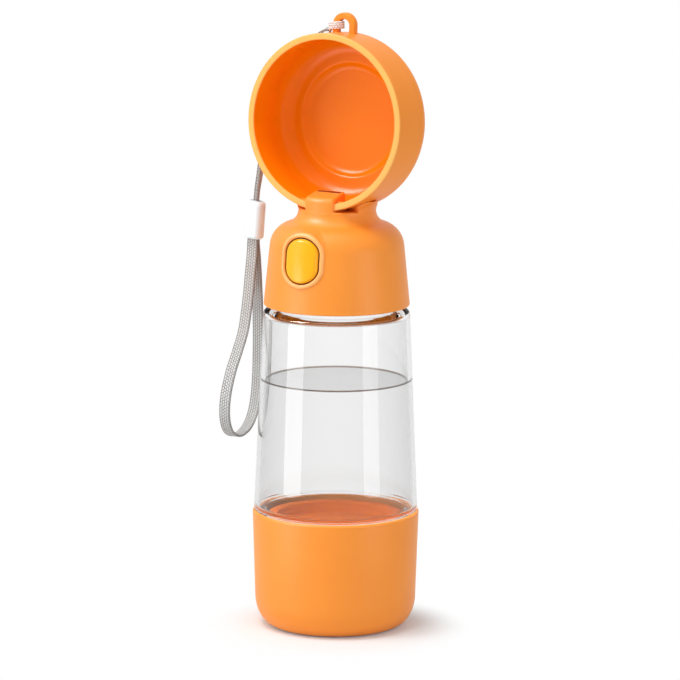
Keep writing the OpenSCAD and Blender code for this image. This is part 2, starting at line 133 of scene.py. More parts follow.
def turned(shape, steps=160):
    """Surface of revolution: point (r, z) of the outline at angle a goes to (r cos a, r sin a, z).
    An end at r = 0 becomes one point; an outline that keeps off the axis is joined to itself."""
    low, high = shape[0, 0] < 1e-9, shape[-1, 0] < 1e-9
    r, z = shape[int(low):len(shape) - int(high)].T
    a = np.linspace(0, 2 * math.pi, steps, endpoint=False)
    points = np.stack([np.outer(r, np.cos(a)), np.outer(r, np.sin(a)), np.outer(z, np.ones(steps))], -1)
    points = points.reshape(-1, 3)
    faces = grid_faces(len(r), steps, not (low or high), True).tolist()
    j = np.arange(steps)
    if low:
        faces += np.stack([np.full(steps, len(points)), (j + 1) % steps, j], 1).tolist()
        points = np.vstack([points, [0, 0, shape[0, 1]]])
    if high:
        last = (len(r) - 1) * steps
        faces += np.stack([np.full(steps, len(points)), last + j, last + (j + 1) % steps], 1).tolist()
        points = np.vstack([points, [0, 0, shape[-1, 1]]])
    return points, faces


def lofted(rings):
    """Skin over a stack of closed rings, rings[i, j], with a flat cap on the first and the last."""
    rows, columns = rings.shape[:2]
    faces = grid_faces(rows, columns, False, True).tolist()
    faces.append(list(range(columns))[::-1])
    faces.append(list(range((rows - 1) * columns, rows * columns)))
    return rings.reshape(-1, 3), faces


print("a grid of 3 by 4 points has", len(grid_faces(3, 4)), "quads")

# %% [markdown]
# One helper makes an object from arrays, at the origin and with its place in its mesh. A second one gives it
# a finish and ties it to the body that carries it. A third stores on each point how much of a second tone it
# takes: a painted highlight on pale edges, and painted shade in deep insides and at the foot. That could be
# painted by hand, but a rule in millimetres stays right when a shape changes.

# %% Objects
def new_object(name, points, faces, sharp=35):
    """An object from points in millimetres; edges bent more than sharp degrees stay crisp."""
    mesh = bpy.data.meshes.new(name)
    mesh.from_pydata((np.asarray(points) * MM).tolist(), [], faces)
    mesh.update()
    mesh.shade_smooth()
    mesh.set_sharp_from_angle(angle=math.radians(sharp))
    piece = bpy.data.objects.new(name, mesh)
    scene.collection.objects.link(piece)
    return piece


def finished(piece, material, body, slot, *nodes):
    """Gives a piece its material, makes it ride on a body, and lets it stand for CAD nodes."""
    piece.data.materials.clear()
    piece.data.materials.append(material)
    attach(piece, body)
    if nodes:
        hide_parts(*nodes)
    print(f"{piece.name}: {len(piece.data.polygons)} faces, rides on {body}")
    return piece


def toned(piece, name, amount):
    """Stores a share of 0 to 1 on each point, which amount works out from the points in millimetres."""
    points = np.zeros(len(piece.data.vertices) * 3)
    piece.data.vertices.foreach_get("co", points)
    share = np.clip(amount(points.reshape(-1, 3) / MM), 0, 1)
    piece.data.attributes.new(name, "FLOAT", "POINT").data.foreach_set("value", share)
    return piece


print("one millimetre is", MM, "m")

# %% [markdown]
# Slots and notches are cut with Blender's Boolean modifier, which is then applied to the mesh. The
# edge where two curved surfaces meet has no simple formula, and the modifier finds it exactly.

# %% Cutting
def cut(piece, *tools, sharp=35):
    """Takes each tool's solid out of the piece, keeps the result as its mesh, and removes the tools."""
    for tool in tools:
        step = piece.modifiers.new("cut", "BOOLEAN")
        step.operation, step.solver, step.object = "DIFFERENCE", "EXACT", tool
    graph = bpy.context.evaluated_depsgraph_get()
    mesh = bpy.data.meshes.new_from_object(piece.evaluated_get(graph))
    piece.modifiers.clear()
    piece.data = mesh
    mesh.shade_smooth()
    mesh.set_sharp_from_angle(angle=math.radians(sharp))
    for tool in tools:
        bpy.data.objects.remove(tool)
    return piece


def box_solid(low, high):
    """The eight corners and six outward faces of a box."""
    corners = np.array([[x, y, z] for x in (low[0], high[0]) for y in (low[1], high[1])
                        for z in (low[2], high[2])])
    return corners, [[0, 1, 3, 2], [4, 6, 7, 5], [0, 4, 5, 1], [2, 3, 7, 6], [0, 2, 6, 4], [1, 5, 7, 3]]


print("a box has", len(box_solid((0, 0, 0), (1, 1, 1))[1]), "faces")

# %% [markdown]
# ## Materials
#
# A finish is a small network of nodes. Colours are written as hex values, as a painter would pick
# them on a screen, and one function turns them into the linear values that light is reckoned in. One
# more function adds a node with its settings and links, so that each network reads as a list.

# %% Helpers for materials
# A Mix node has a pair of sockets for each kind of value. These are the numbers of its two colours, and
# of the mixed colour among its outputs.
MIX_A, MIX_B, MIXED = 6, 7, 2


def colour(code):
    """Linear red, green, blue and alpha of an sRGB hex code: the sRGB curve undone for each part."""
    parts = np.array([int(code[i:i + 2], 16) for i in (1, 3, 5)]) / 255
    linear = np.where(parts <= 0.04045, parts / 12.92, ((parts + 0.055) / 1.055) ** 2.4)
    return (*linear.tolist(), 1.0)


def add_node(tree, kind, inputs=None, **settings):
    """Adds a node of that kind; inputs gives each socket a value or another node's output."""
    node = tree.nodes.new(kind)
    for name, value in settings.items():
        setattr(node, name, value)
    for socket, value in (inputs or {}).items():
        if isinstance(value, bpy.types.NodeSocket):
            tree.links.new(value, node.inputs[socket])
        else:
            node.inputs[socket].default_value = value
    return node


def new_material(name):
    """An empty material, and its node tree with an output."""
    material = bpy.data.materials.new(name)
    material.use_nodes = True
    material.node_tree.nodes.clear()
    return material, material.node_tree, add_node(material.node_tree, "ShaderNodeOutputMaterial")


print("mid grey in linear light:", round(colour("#808080")[0], 3))

# %% [markdown]
# Polypropylene is the usual plastic of cups and lids. Moulded against a spark-eroded tool it has a
# fine matte grain of about 0.4 mm that feels soft, and light spreads on it in a wide dull sheen. Its
# colour drifts a little, as it does where the plastic cooled faster. The grain could be an image, but
# noise on Object coordinates needs no unwrapping and doesn't stretch over the shape. The same recipe
# with less grain makes the smoother plastics of the button, the bead and the valve, and the rubbers.

# %% Moulded plastics
DRIFT_MM = 15.0
ROUGHNESS_SPREAD = 0.04
POLISHED_ROUGHNESS = 0.24


def moulded_plastic(name, base, shade, roughness, grain_mm, grain_depth, gloss=0.5, edge=None, inner=None,
                    soft=0.0):
    """Plastic whose colour drifts between base and shade, with a fine grain. The mesh's attribute "edge"
    mixes in the pale tone, a painted highlight on an edge. Its attribute "polish_and_shade" mixes in the
    deeper tone, painted shade in an inside or at the foot, and makes the surface smoother."""
    material, tree, output = new_material(name)
    place = add_node(tree, "ShaderNodeTexCoord").outputs["Object"]
    drift = add_node(tree, "ShaderNodeTexNoise", {"Vector": place, "Scale": 1 / (DRIFT_MM * MM),
                                                  "Detail": 1.0})
    tint = add_node(tree, "ShaderNodeMix", {"Factor": drift.outputs["Fac"], MIX_A: colour(base),
                                            MIX_B: colour(shade)}, data_type="RGBA")
    if edge:
        painted_highlight = add_node(tree, "ShaderNodeAttribute", attribute_name="edge")
        tint = add_node(tree, "ShaderNodeMix", {"Factor": painted_highlight.outputs["Fac"], MIX_A: tint.outputs[MIXED],
                                                MIX_B: colour(edge)}, data_type="RGBA")
    grain = add_node(tree, "ShaderNodeTexNoise", {"Vector": place, "Scale": 1 / (grain_mm * MM),
                                                  "Detail": 2.0})
    dull = add_node(tree, "ShaderNodeMapRange", {"Value": grain.outputs["Fac"],
                                                 "To Min": roughness - ROUGHNESS_SPREAD,
                                                 "To Max": roughness + ROUGHNESS_SPREAD})
    if inner:
        polish_and_shade = add_node(tree, "ShaderNodeAttribute", attribute_name="polish_and_shade")
        tint = add_node(tree, "ShaderNodeMix", {"Factor": polish_and_shade.outputs["Fac"], MIX_A: tint.outputs[MIXED],
                                                MIX_B: colour(inner)}, data_type="RGBA")
        dull = add_node(tree, "ShaderNodeMapRange", {"Value": polish_and_shade.outputs["Fac"],
                                                     "To Min": dull.outputs[0], "To Max": POLISHED_ROUGHNESS})
    bump = add_node(tree, "ShaderNodeBump", {"Height": grain.outputs["Fac"], "Strength": 0.6,
                                             "Distance": grain_depth * MM})
    shader = add_node(tree, "ShaderNodeBsdfPrincipled", {
        "Base Color": tint.outputs[MIXED], "Roughness": dull.outputs[0], "Normal": bump.outputs[0],
        "IOR": 1.49, "Specular IOR Level": gloss, "Subsurface Weight": soft, "Subsurface Scale": 1.5 * MM})
    tree.links.new(shader.outputs[0], output.inputs[0])
    return material


# Off an eroded mould: one soft, even colour with a wide dull sheen. Its pale tone is a painted highlight on
# the bezel's lip, and its deep brown a painted shade at the foot.
soft_touch_orange = moulded_plastic("soft_touch_orange_polypropylene", "#FB9835", "#F99231", 0.42, 0.4, 0.012,
                                    0.3, "#FFC27A", "#7A3210")
# Off a stoned, smoother mould: the colour is deeper, and highlights have a shape with soft borders. Its pale
# tone is a painted highlight on the bowl's rim, and its deeper one painted shade inside the bowl.
satin_orange = moulded_plastic("satin_deep_orange_polypropylene", "#FB942E", "#F9902A", 0.36, 0.5, 0.008,
                               0.14, "#FFB860", "#F88404")
# Left rough inside the tank's foot, where nobody touches it, so it has hardly any highlight. Its deep tone is
# painted shade: a darker copy of the orange, for the dim inside of the cup.
shaded_matte_orange = moulded_plastic("matte_shaded_orange_polypropylene", "#DC6C0A", "#D0640A", 0.6, 0.4, 0.01, 0.04)
# ABS takes a smoother skin from its mould: a clear yellow with a crisper highlight.
smooth_yellow = moulded_plastic("smooth_yellow_acrylic_styrene", "#FFB704", "#FDB002", 0.3, 0.6, 0.004, 0.3)
# Acetal slides well and looks like porcelain: a cold white with a soft shine.
white_acetal = moulded_plastic("white_acetal", "#EEF9FE", "#E9F4F9", 0.35, 0.5, 0.005)
# Moulded silicone rubber is dull, and the pale one lets light creep in under its skin.
pale_silicone = moulded_plastic("pale_silicone_rubber", "#E9E4DA", "#E2DDD2", 0.55, 0.3, 0.01, soft=0.2)
# The dark brown one is painted shade for the button's gap.
gap_shade_brown = moulded_plastic("gap_painted_shade_brown", "#4A2008", "#421C06", 0.6, 0.3, 0.01, 0.2)
# The dark red one is painted shade for the outlet slot.
slit_shade_red = moulded_plastic("slit_painted_shade_red", "#A8400E", "#9E3A0C", 0.6, 0.3, 0.01, 0.2)
plastics = (soft_touch_orange, satin_orange, shaded_matte_orange, smooth_yellow, white_acetal, pale_silicone,
            gap_shade_brown, slit_shade_red)
print("plastics:", [material.name for material in plastics])

# %% [markdown]
# The hinge pin, the spring and the screws are stainless steel. Wire is drawn and screws are turned,
# which leaves fine lines that spread a highlight across them. The default IOR of a metal is kept, and
# the lines are a noise stretched along one direction, which is simpler than a wave pattern and never
# repeats.

# %% Drawn steel
def drawn_steel(name):
    """Stainless steel with fine lines 0.1 mm apart that run along X, 25 times as long as they are wide."""
    material, tree, output = new_material(name)
    place = add_node(tree, "ShaderNodeTexCoord").outputs["Object"]
    along_x = add_node(tree, "ShaderNodeMapping", {"Vector": place, "Scale": (0.04, 1, 1)})
    lines = add_node(tree, "ShaderNodeTexNoise", {"Vector": along_x.outputs[0], "Scale": 1 / (0.1 * MM)})
    dull = add_node(tree, "ShaderNodeMapRange", {"Value": lines.outputs["Fac"], "To Min": 0.22,
                                                 "To Max": 0.36})
    shader = add_node(tree, "ShaderNodeBsdfPrincipled", {"Base Color": colour("#B9BCC0"), "Metallic": 1.0,
                                                         "Roughness": dull.outputs[0]})
    tree.links.new(shader.outputs[0], output.inputs[0])
    return material


steel = drawn_steel("drawn_stainless_steel")
print("metal:", steel.name)

# %% [markdown]
# The tank is moulded from a clear copolyester. What shows a clear wall against a pale background is
# its edge, where the line of sight runs a long way through the plastic and meets it at a low angle.
# Absorption in the volume would do that too, but slowly and with noise. Here the colour that the
# surface takes from light is mixed by Layer Weight: almost none where it is seen straight on, and
# grey at the edges.

# %% Clear copolyester and water
def clear_material(name, face, edge, ior, blend, wave_mm=0.0, wave_depth=0.0):
    """A clear solid whose tint goes from face, seen straight on, to edge, seen at a low angle. Lamps shine
    straight through it by a transparent shader for shadow rays, so that what stands inside is lit."""
    material, tree, output = new_material(name)
    shape = {}
    if wave_mm:
        place = add_node(tree, "ShaderNodeTexCoord").outputs["Object"]
        waves = add_node(tree, "ShaderNodeTexNoise", {"Vector": place, "Scale": 1 / (wave_mm * MM),
                                                      "Detail": 1.0})
        ripple = add_node(tree, "ShaderNodeBump", {"Height": waves.outputs["Fac"], "Strength": 1.0,
                                                   "Distance": wave_depth * MM})
        shape = {"Normal": ripple.outputs[0]}
    facing = add_node(tree, "ShaderNodeLayerWeight", {"Blend": blend, **shape})
    tint = add_node(tree, "ShaderNodeMix", {"Factor": facing.outputs["Facing"], MIX_A: colour(face),
                                            MIX_B: colour(edge)}, data_type="RGBA")
    shader = add_node(tree, "ShaderNodeBsdfPrincipled", {
        "Base Color": tint.outputs[MIXED], "Roughness": 0.0, "IOR": ior, "Transmission Weight": 1.0, **shape})
    rays = add_node(tree, "ShaderNodeLightPath")
    open_way = add_node(tree, "ShaderNodeBsdfTransparent", {"Color": colour(face)})
    both = add_node(tree, "ShaderNodeMixShader", {0: rays.outputs["Is Shadow Ray"], 1: shader.outputs[0],
                                                  2: open_way.outputs[0]})
    tree.links.new(both.outputs[0], output.inputs[0])
    return material


# The wall: bright, with thin grey edges, and waves 14 mm long and 0.02 mm deep that stir its reflections.
clear_copolyester = clear_material("clear_copolyester", "#FAFAFA", "#66686A", 1.42, 0.12, 14.0, 0.02)
# Seen from ten degrees above, a floor or a water surface with its full IOR would be a perfect mirror.
# What lies below shows through the real ones, so the flat pieces take an IOR just above that of air.
clear_floor = clear_material("clear_copolyester_floor", "#FDFDFD", "#FAF8F6", 1.005, 0.3)
still_water = clear_material("still_water", "#F8F8F8", "#F0F0F0", 1.005, 0.3)
clear_corner = clear_material("clear_copolyester_corners", "#FCFCFC", "#CFCAC6", 1.04, 0.2)
# The water's surface has slow ripples, and its edge against the wall shows as a dark line. That edge's dark
# brown tint is painted shade for the line.
water_skin = clear_material("water_surface", "#FFFFFF", "#E4E4E4", 1.01, 0.5, 14.0, 0.9)
water_edge = clear_material("water_edge", "#B4A69C", "#2C1E16", 1.2, 0.4)
clear_ones = (clear_copolyester, clear_floor, still_water, clear_corner, water_skin, water_edge)
print("clear:", [material.name for material in clear_ones])

# %% [markdown]
# The strap is flat polyester webbing 5 mm wide. Its warp threads run lengthwise in ribs about 0.6 mm
# apart, and the weft crosses them, so each rib looks like a row of small stitches. Ribs and stitches
# are drawn coarser than the real ones, 1.0 and 1.3 mm apart, so that they show. Single threads could
# be modelled, but at this size a brick pattern with a bump gives the same look. It reads the strap's
# own UV map, which holds millimetres across and along, so the ribs follow every bend.

# %% Woven webbing
WEBBING_W = 5.0
RIB_MM, STITCH_MM = 1.0, 1.3


def woven_webbing(name, light, dark):
    """Ribs across the strap, cut into stitches, with each second rib shifted by half a stitch. The outer
    0.45 mm of each side, the selvage, goes to the dark tone."""
    material, tree, output = new_material(name)
    place = add_node(tree, "ShaderNodeUVMap", uv_map="weave").outputs[0]
    lengthwise = add_node(tree, "ShaderNodeMapping", {"Vector": place, "Rotation": (0, 0, math.pi / 2)})
    bricks = add_node(tree, "ShaderNodeTexBrick", {
        "Vector": lengthwise.outputs[0], "Color1": colour(light), "Color2": colour(light),
        "Mortar": colour(dark), "Scale": 1.0, "Mortar Size": 0.15 * RIB_MM, "Mortar Smooth": 0.6,
        "Brick Width": STITCH_MM, "Row Height": RIB_MM}, offset=0.5)
    fuzz = add_node(tree, "ShaderNodeTexNoise", {"Vector": place, "Scale": 2.5, "Detail": 3.0})
    tint = add_node(tree, "ShaderNodeMix", {"Factor": 0.25, MIX_A: bricks.outputs["Color"],
                                            MIX_B: fuzz.outputs["Color"]},
                    data_type="RGBA", blend_type="SOFT_LIGHT")
    across = add_node(tree, "ShaderNodeSeparateXYZ", {"Vector": place})
    from_middle = add_node(tree, "ShaderNodeMath", {0: across.outputs["X"]}, operation="ABSOLUTE")
    selvage = add_node(tree, "ShaderNodeMapRange", {
        "Value": from_middle.outputs[0], "From Min": WEBBING_W / 2 - 0.45, "From Max": WEBBING_W / 2 - 0.05,
        "To Min": 0.0, "To Max": 0.75})
    tint = add_node(tree, "ShaderNodeMix", {"Factor": selvage.outputs[0], MIX_A: tint.outputs[MIXED],
                                            MIX_B: colour(dark)}, data_type="RGBA")
    bump = add_node(tree, "ShaderNodeBump", {"Height": bricks.outputs["Fac"], "Strength": 0.8,
                                             "Distance": 0.25 * MM}, invert=True)
    shader = add_node(tree, "ShaderNodeBsdfPrincipled", {
        "Base Color": tint.outputs[MIXED], "Roughness": 0.8, "Normal": bump.outputs[0], "Sheen Weight": 0.3,
        "Sheen Roughness": 0.5})
    tree.links.new(shader.outputs[0], output.inputs[0])
    return material


grey_webbing = woven_webbing("grey_polyester_webbing", "#CECDCB", "#746F6B")
# A paler copy of the same webbing, for the turn round the lug: painted light where it lies in the light.
lit_webbing = woven_webbing("lit_polyester_webbing", "#FAF6F6", "#C4BBBA")
print("cloth:", grey_webbing.name, lit_webbing.name)

# %% [markdown]
# ## The strap
#
# A real lanyard is one strip of webbing. It is doubled from the lug down to a sliding bead, and opens
# below the bead into a loop for the hand. A Blender curve with a bevel would give it a section too,
# but would turn it as it likes. Here the strip is a path with a rounded oblong carried along it, and
# the width's direction is given along the path: it lies flat on the bowl's wall, and turns from there
# into the bead's slot. What makes a strip look like cloth is the way it turns. First comes the path.

# %% Paths
def running_length(path):
    """Distance along a path to each of its points: the lengths of its steps, added up."""
    return np.concatenate([[0], np.cumsum(np.linalg.norm(np.diff(path, axis=0), axis=1))])


def smooth_route(points, step=0.8):
    """A curve through all points in even steps, and the distance along it. Between two points it is the
    cubic that meets both with a slope of half the way between each one's neighbours."""
    p = np.asarray(points, float)
    slope = np.gradient(p, axis=0)
    s = np.linspace(0, 1, 16, endpoint=False)[:, None, None]
    a, b, m, n = p[:-1], p[1:], slope[:-1], slope[1:]
    curve = ((2 * s**3 - 3 * s**2 + 1) * a + (s**3 - 2 * s**2 + s) * m
             + (3 * s**2 - 2 * s**3) * b + (s**3 - s**2) * n)
    curve = np.vstack([curve.transpose(1, 0, 2).reshape(-1, 3), p[-1:]])
    along = running_length(curve)
    even = np.linspace(0, along[-1], max(8, int(along[-1] / step)))
    return np.stack([np.interp(even, along, curve[:, k]) for k in range(3)], 1), even


def unit(v):
    """Each vector divided by its length."""
    return v / np.linalg.norm(v, axis=-1, keepdims=True)


def along_route(even, keys):
    """Directions along a path: keys lists (millimetres from the start, direction), blended between."""
    at = np.array([k for k, _ in keys], float)
    directions = np.array([d for _, d in keys], float)
    return unit(np.stack([np.interp(even, at, directions[:, k]) for k in range(3)], 1))


print("a path of two steps:", running_length(np.array([[0, 0, 0], [3, 4, 0], [3, 4, 2]])).tolist())

# %% [markdown]
# Then comes the strip. Its section has a few points on each flat side and a rounding at each corner,
# and each ring of the skin is that section, set square to the path. The strip also gets a UV map in
# millimetres, across by along, for the weave to follow.

# %% A strap along a path
def strap(name, route, sides, width, thick, edge=0.35, groove=0.0, narrow=None):
    """A rounded oblong, width by thick, carried along the route; sides gives the width's direction at each
    point. The section is centre + w * across + t * normal. A groove pinches its two short edges between
    two plies, and narrow gives the shares of the width and of the thickness left at each point."""
    forward = unit(np.gradient(route, axis=0))
    across = unit(sides - np.sum(sides * forward, -1, keepdims=True) * forward)
    normal = np.cross(forward, across)
    w, t = width / 2 - edge, thick / 2 - edge
    flat = np.linspace(w, -w, 7)[1:-1]
    section = outline(
        arc((w, t), edge, 0, 90, 3), np.stack([flat, np.full(5, t + edge)], 1),
        arc((-w, t), edge, 90, 180, 3), (-w - edge + groove, 0),
        arc((-w, -t), edge, 180, 270, 3), np.stack([-flat, np.full(5, -t - edge)], 1),
        arc((w, -t), edge, 270, 360, 3), (w + edge - groove, 0))
    share = np.ones((len(route), 2)) if narrow is None else narrow
    rings = (route[:, None] + share[:, None, :1] * section[None, :, :1] * across[:, None]
             + share[:, None, 1:] * section[None, :, 1:] * normal[:, None])
    piece = new_object(name, *lofted(rings), 50)
    uv = np.stack(np.broadcast_arrays(section[None, :, 0], running_length(route)[:, None]), -1).reshape(-1, 2)
    corner = np.zeros(len(piece.data.loops), int)
    piece.data.loops.foreach_get("vertex_index", corner)
    piece.data.uv_layers.new(name="weave").data.foreach_set("uv", uv[corner].ravel())
    return piece


print("webbing:", WEBBING_W, "mm wide")

# %% [markdown]
# The upper strap is two plies that lie on each other, with a groove between them at both edges. It
# leaves the lug, goes down behind the bowl's rim along the wall, and ends in the bead. Two strips
# could be laid side by side; one strip of double thickness has no gap that light could leak through.

# %% The upper strap, from the lug to the bead
UPPER = [[-6.3, 4.8, 259.6], [-8.4, 4.7, 258.9], [-10.8, 4.5, 258.1], [-14.7, 4.2, 256.6], [-19.1, 4, 254.5],
         [-23.1, 4, 251.9], [-26.8, 4, 248.8], [-30.1, 4, 245.4], [-33.3, 4, 240.9], [-35.9, 4, 236.1],
         [-37.8, 4, 230.9], [-39, 4, 225.6], [-39.4, 4, 220.1], [-39.4, 3.8, 213.5], [-39.4, 3, 206.5],
         [-39.6, 1.6, 199.5], [-39.8, 0.1, 193], [-40, -1, 188.2], [-40.19, -1.4, 184.3],
         [-40.3, -1.4, 182.9]]
BOWL_AXIS_Z = 220.3
CLOSER = 0.85
upper_path, upper_along = smooth_route(UPPER)
upper_length = upper_along[-1]
# Just behind the rim it is pulled flat on the bowl's wall, 0.85 mm closer to the bowl's axis.
laid_flat = np.interp(upper_along, [3, 7, 24, 38], [0, 1, 1, 0])[:, None]
upper_path -= CLOSER * laid_flat * unit(upper_path * [1, 0, 1] - [0, 0, BOWL_AXIS_Z])
upper_sides = along_route(upper_along, [(0, (0, 0.6, 0.8)), (3, (-0.1, 0.95, 0.2)), (8, (0, 1, 0)),
                                        (60, (0, 1, 0)), (upper_length - 24, (-0.12, 0.98, 0)),
                                        (upper_length, (-0.2, 0.97, 0))])
width_share = np.interp(upper_along, [0, 3, 10, upper_length - 26, upper_length - 4, upper_length],
                        [0.5, 0.6, 1.0, 1.0, 0.5, 0.48])
thick_share = np.interp(upper_along, [0, 4, 8, 24, 40], [0.5, 0.5, 0.36, 0.36, 1.0])
upper_strap = strap("upper_strap_webbing", upper_path, upper_sides, WEBBING_W, 2.0, 0.45, 0.3,
                    np.stack([width_share, thick_share], 1))
finished(upper_strap, grey_webbing, "lanyard", "webbing", "upper_strap")
print("upper strap is", round(upper_length, 1), "mm long")

# %% [markdown]
# The loop leaves the bead's underside, hangs down by its own weight, turns round at the bottom and
# comes back up into the bead. The two runs lie close together near the bead and spread below it. A
# simulated strip would hang much the same; points on a curve hang so each time.

# %% The wrist loop
LOOP = [[-41.6, -2.1, 166.1], [-41.76, -2.1, 164], [-41.5, -3.2, 158], [-41.2, -4.9, 151], [-40.6, -7.2, 143],
        [-39.8, -10.2, 135], [-38.6, -14.4, 127.5], [-37.7, -20.2, 120], [-37.1, -26, 112.6],
        [-36.9, -30, 104.6], [-37, -31.6, 97], [-37.4, -30.4, 90], [-38.3, -25.8, 84.6], [-39.2, -18.4, 82],
        [-39.7, -10.4, 83.8], [-40, -4.8, 89], [-40, -2, 96.6], [-40, -0.8, 105.4], [-39.9, -0.5, 115],
        [-39.9, -0.4, 125], [-40.1, -0.4, 135], [-40.6, -0.4, 146], [-41.2, -0.5, 157], [-41.76, -0.7, 164],
        [-41.6, -0.7, 166.1]]
loop_path, loop_along = smooth_route(LOOP)
loop_sides = np.broadcast_to([0.99, 0.13, 0.0], loop_path.shape)
wrist_loop = strap("wrist_loop_webbing", loop_path, loop_sides, WEBBING_W, 1.0)
finished(wrist_loop, grey_webbing, "lanyard", "webbing", "wrist_loop")
print("wrist loop is", round(loop_along[-1], 1), "mm long")

# %% [markdown]
# The bead is a short tube of white plastic that slides on the strap and closes the loop. It could be
# a box with a bevel, but its real section is a slot outline: two half circles joined by straight
# sides. Rings of that outline shrink at both ends, which rounds the edges. The oblong hole is cut
# right through, and the strap fills it.

# %% The slider bead
BEAD = np.array([-40.95, -1.4, 174.5])
BEAD_LEAN = math.radians(4.4)


def slot_ring(radius, half_straight, steps=48, squash=1.0):
    """Two half circles of that radius, half_straight either side of the middle, joined by straight sides;
    squash flattens the half circles. Returns points (across, along) and the outward direction at each."""
    a = np.radians(np.concatenate([np.linspace(0, 180, steps // 2), np.linspace(180, 360, steps // 2)]))
    shift = np.repeat([half_straight, -half_straight], steps // 2)
    out = np.stack([np.cos(a), np.sin(a)], 1)
    return out * radius * [1, squash] + np.stack([np.zeros(len(a)), shift], 1), out


def bead_rings(half_height, wide, deep, edge):
    """Rings from bottom to top. At the ends they are inset by edge * (1 - sin t) at a height of
    edge * (1 - cos t) from the end, for t from 0 to 90 degrees."""
    t = np.radians(np.linspace(0, 90, 6))
    inset = edge * (1 - np.sin(t))
    height = edge * (1 - np.cos(t))
    insets = np.concatenate([inset, inset[::-1]])
    levels = np.concatenate([height - half_height, half_height - height[::-1]])
    ring, out = slot_ring(deep / 2, (wide - deep) / 2)
    flat = ring[None] - insets[:, None, None] * out[None]
    return np.stack([flat[..., 1], -flat[..., 0], np.broadcast_to(levels[:, None], flat.shape[:2])], -1)


def on_bead(points):
    """Points round the origin, with their top leant towards the bottle, moved to the bead's middle."""
    p = np.asarray(points, float)
    c, s = math.cos(BEAD_LEAN), math.sin(BEAD_LEAN)
    return np.stack([p[:, 0] * c + p[:, 2] * s, p[:, 1], -p[:, 0] * s + p[:, 2] * c], 1) + BEAD


bead_points, bead_faces = lofted(bead_rings(8.4, 8.9, 6.2, 1.7))
slider_bead = new_object("slider_bead_body", on_bead(bead_points), bead_faces, 40)
slot_points, slot_faces = box_solid((-2.7, -1.25, -14), (2.7, 1.25, 14))
cut(slider_bead, new_object("slot_tool", on_bead(slot_points), slot_faces), sharp=40)
finished(slider_bead, white_acetal, "lanyard", "white", "slider_bead")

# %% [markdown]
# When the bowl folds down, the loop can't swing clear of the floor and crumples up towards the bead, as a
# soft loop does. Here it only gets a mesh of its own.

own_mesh(wrist_loop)

# %% [markdown]
# ## The base cup
#
# The cup holds dry food and takes the tank's foot. It is round, so it is turned: one outline, spun
# round the axis. A plain cylinder would miss what the eye looks for, which is its rounded foot and
# the small rounding on its top edge that catches a line of light. The hollow is drawn too, because
# the clear tank lets the eye see into it. The lowest part of the foot takes a deeper tone, as it gets
# no light from the floor it stands on.

# %% Base cup
def oval(centre, wide, tall, start, end, steps):
    """Points on an ellipse: centre plus (wide cos t, tall sin t), for t from start to end in degrees."""
    return arc((0, 0), 1.0, start, end, steps) * [wide, tall] + centre


def foot_shade(points):
    """Painted shade at the foot, outside a radius of 20 mm: 0.6 times the depth below 1.2 mm, over 0.9."""
    return 0.6 * (1.2 - points[:, 2]) / 0.9 * (np.hypot(points[:, 0], points[:, 1]) > 20)


base_outline = outline(
    (0, 0), oval((26.0, 13.0), 8.9, 13.0, -90, -2, 28),  # underside, and the side's big rounding
    arc((35.2, 49.9), 0.85, -2, 90, 6), arc((33.9, 50.3), 0.4, 90, 180, 4),  # top edge
    (33.15, 40.2), (33.1, 39.9), (29.9, 39.9), (29.8, 39.8),  # socket for the tank, and its ledge
    (29.8, 38.5), (29.9, 38.4), (33.0, 38.4),  # underside of the ledge
    oval((26.0, 13.0), 6.3, 10.4, -2, -90, 18), (0, 2.6))  # hollow
base_cup = new_object("base_cup_body", *turned(base_outline), 40)
toned(base_cup, "polish_and_shade", foot_shade)
finished(base_cup, soft_touch_orange, "base", "orange", "base_cup")

# %% [markdown]
# ## The tank and the water
#
# The tank is one clear moulding: a foot that stands in the cup, a tapered wall, a shoulder and a
# neck. A thin sheet would look like a soap bubble. The outline runs up the outside, over the shoulder
# and the neck, and back down the inside, so the wall has its real thickness and bends light as the
# real one does. The shoulder and the foot's corner are seen at a low angle and would go black, so
# their faces take the clearer finish of the corners. The floor is a disc of its own.

# %% Tank
SHOULDER_Z, CORNER_Z = 138.0, 53.2
tank_outline = outline(
    (30.4, 50.9), (30.66, 50.6), (30.66, 41.5), (30.86, 41.3), (32.66, 41.3), (32.86, 41.5),  # foot
    (32.86, 50.7), (33.0, 50.9), arc((34.5, 51.9), 1.0, -90, 0, 6),  # bead that rests on the cup
    arc((29.2, 136.3), 2.6, 2.4, 90, 10), (26.35, 138.9),  # shoulder
    (26.2, 139.05), (26.2, 147.9), (25.8, 148.3), (24.7, 148.3), (24.3, 147.9),  # neck
    (24.3, 137.0), (24.6, 136.7), arc((28.1, 135.2), 1.5, 90, 2.4, 6),  # inside of the shoulder
    arc((32.2, 53.85), 1.15, 0, -80, 8), (31.5, 52.7), (29.9, 52.4), (29.9, 51.2))  # inner corner
tank = new_object("tank_shell", *turned(tank_outline, 192), 40)
finished(tank, clear_copolyester, "tank", "clear", "tank")
tank.data.materials.append(clear_corner)
heights = np.array([face.center.z for face in tank.data.polygons]) / MM
corner_faces = ((heights > SHOULDER_Z) | (heights < CORNER_Z)).astype(int)
tank.data.polygons.foreach_set("material_index", corner_faces)
floor_outline = outline((0, 50.95), (29.8, 50.95), (29.95, 51.1), (29.95, 52.4), (29.8, 52.55), (0, 52.55))
tank_floor = new_object("tank_floor", *turned(floor_outline, 128), 40)
finished(tank_floor, clear_floor, "tank", "clear")
print("faces with the clearer finish:", int(corner_faces.sum()))

# %% [markdown]
# Under the clear floor lies an orange pad that closes the cup's food space. It could be a flat disc,
# but its raised rim and its hollow are what shows as rings of light and shade through the water. So
# it is a shallow dish, turned like the cup.

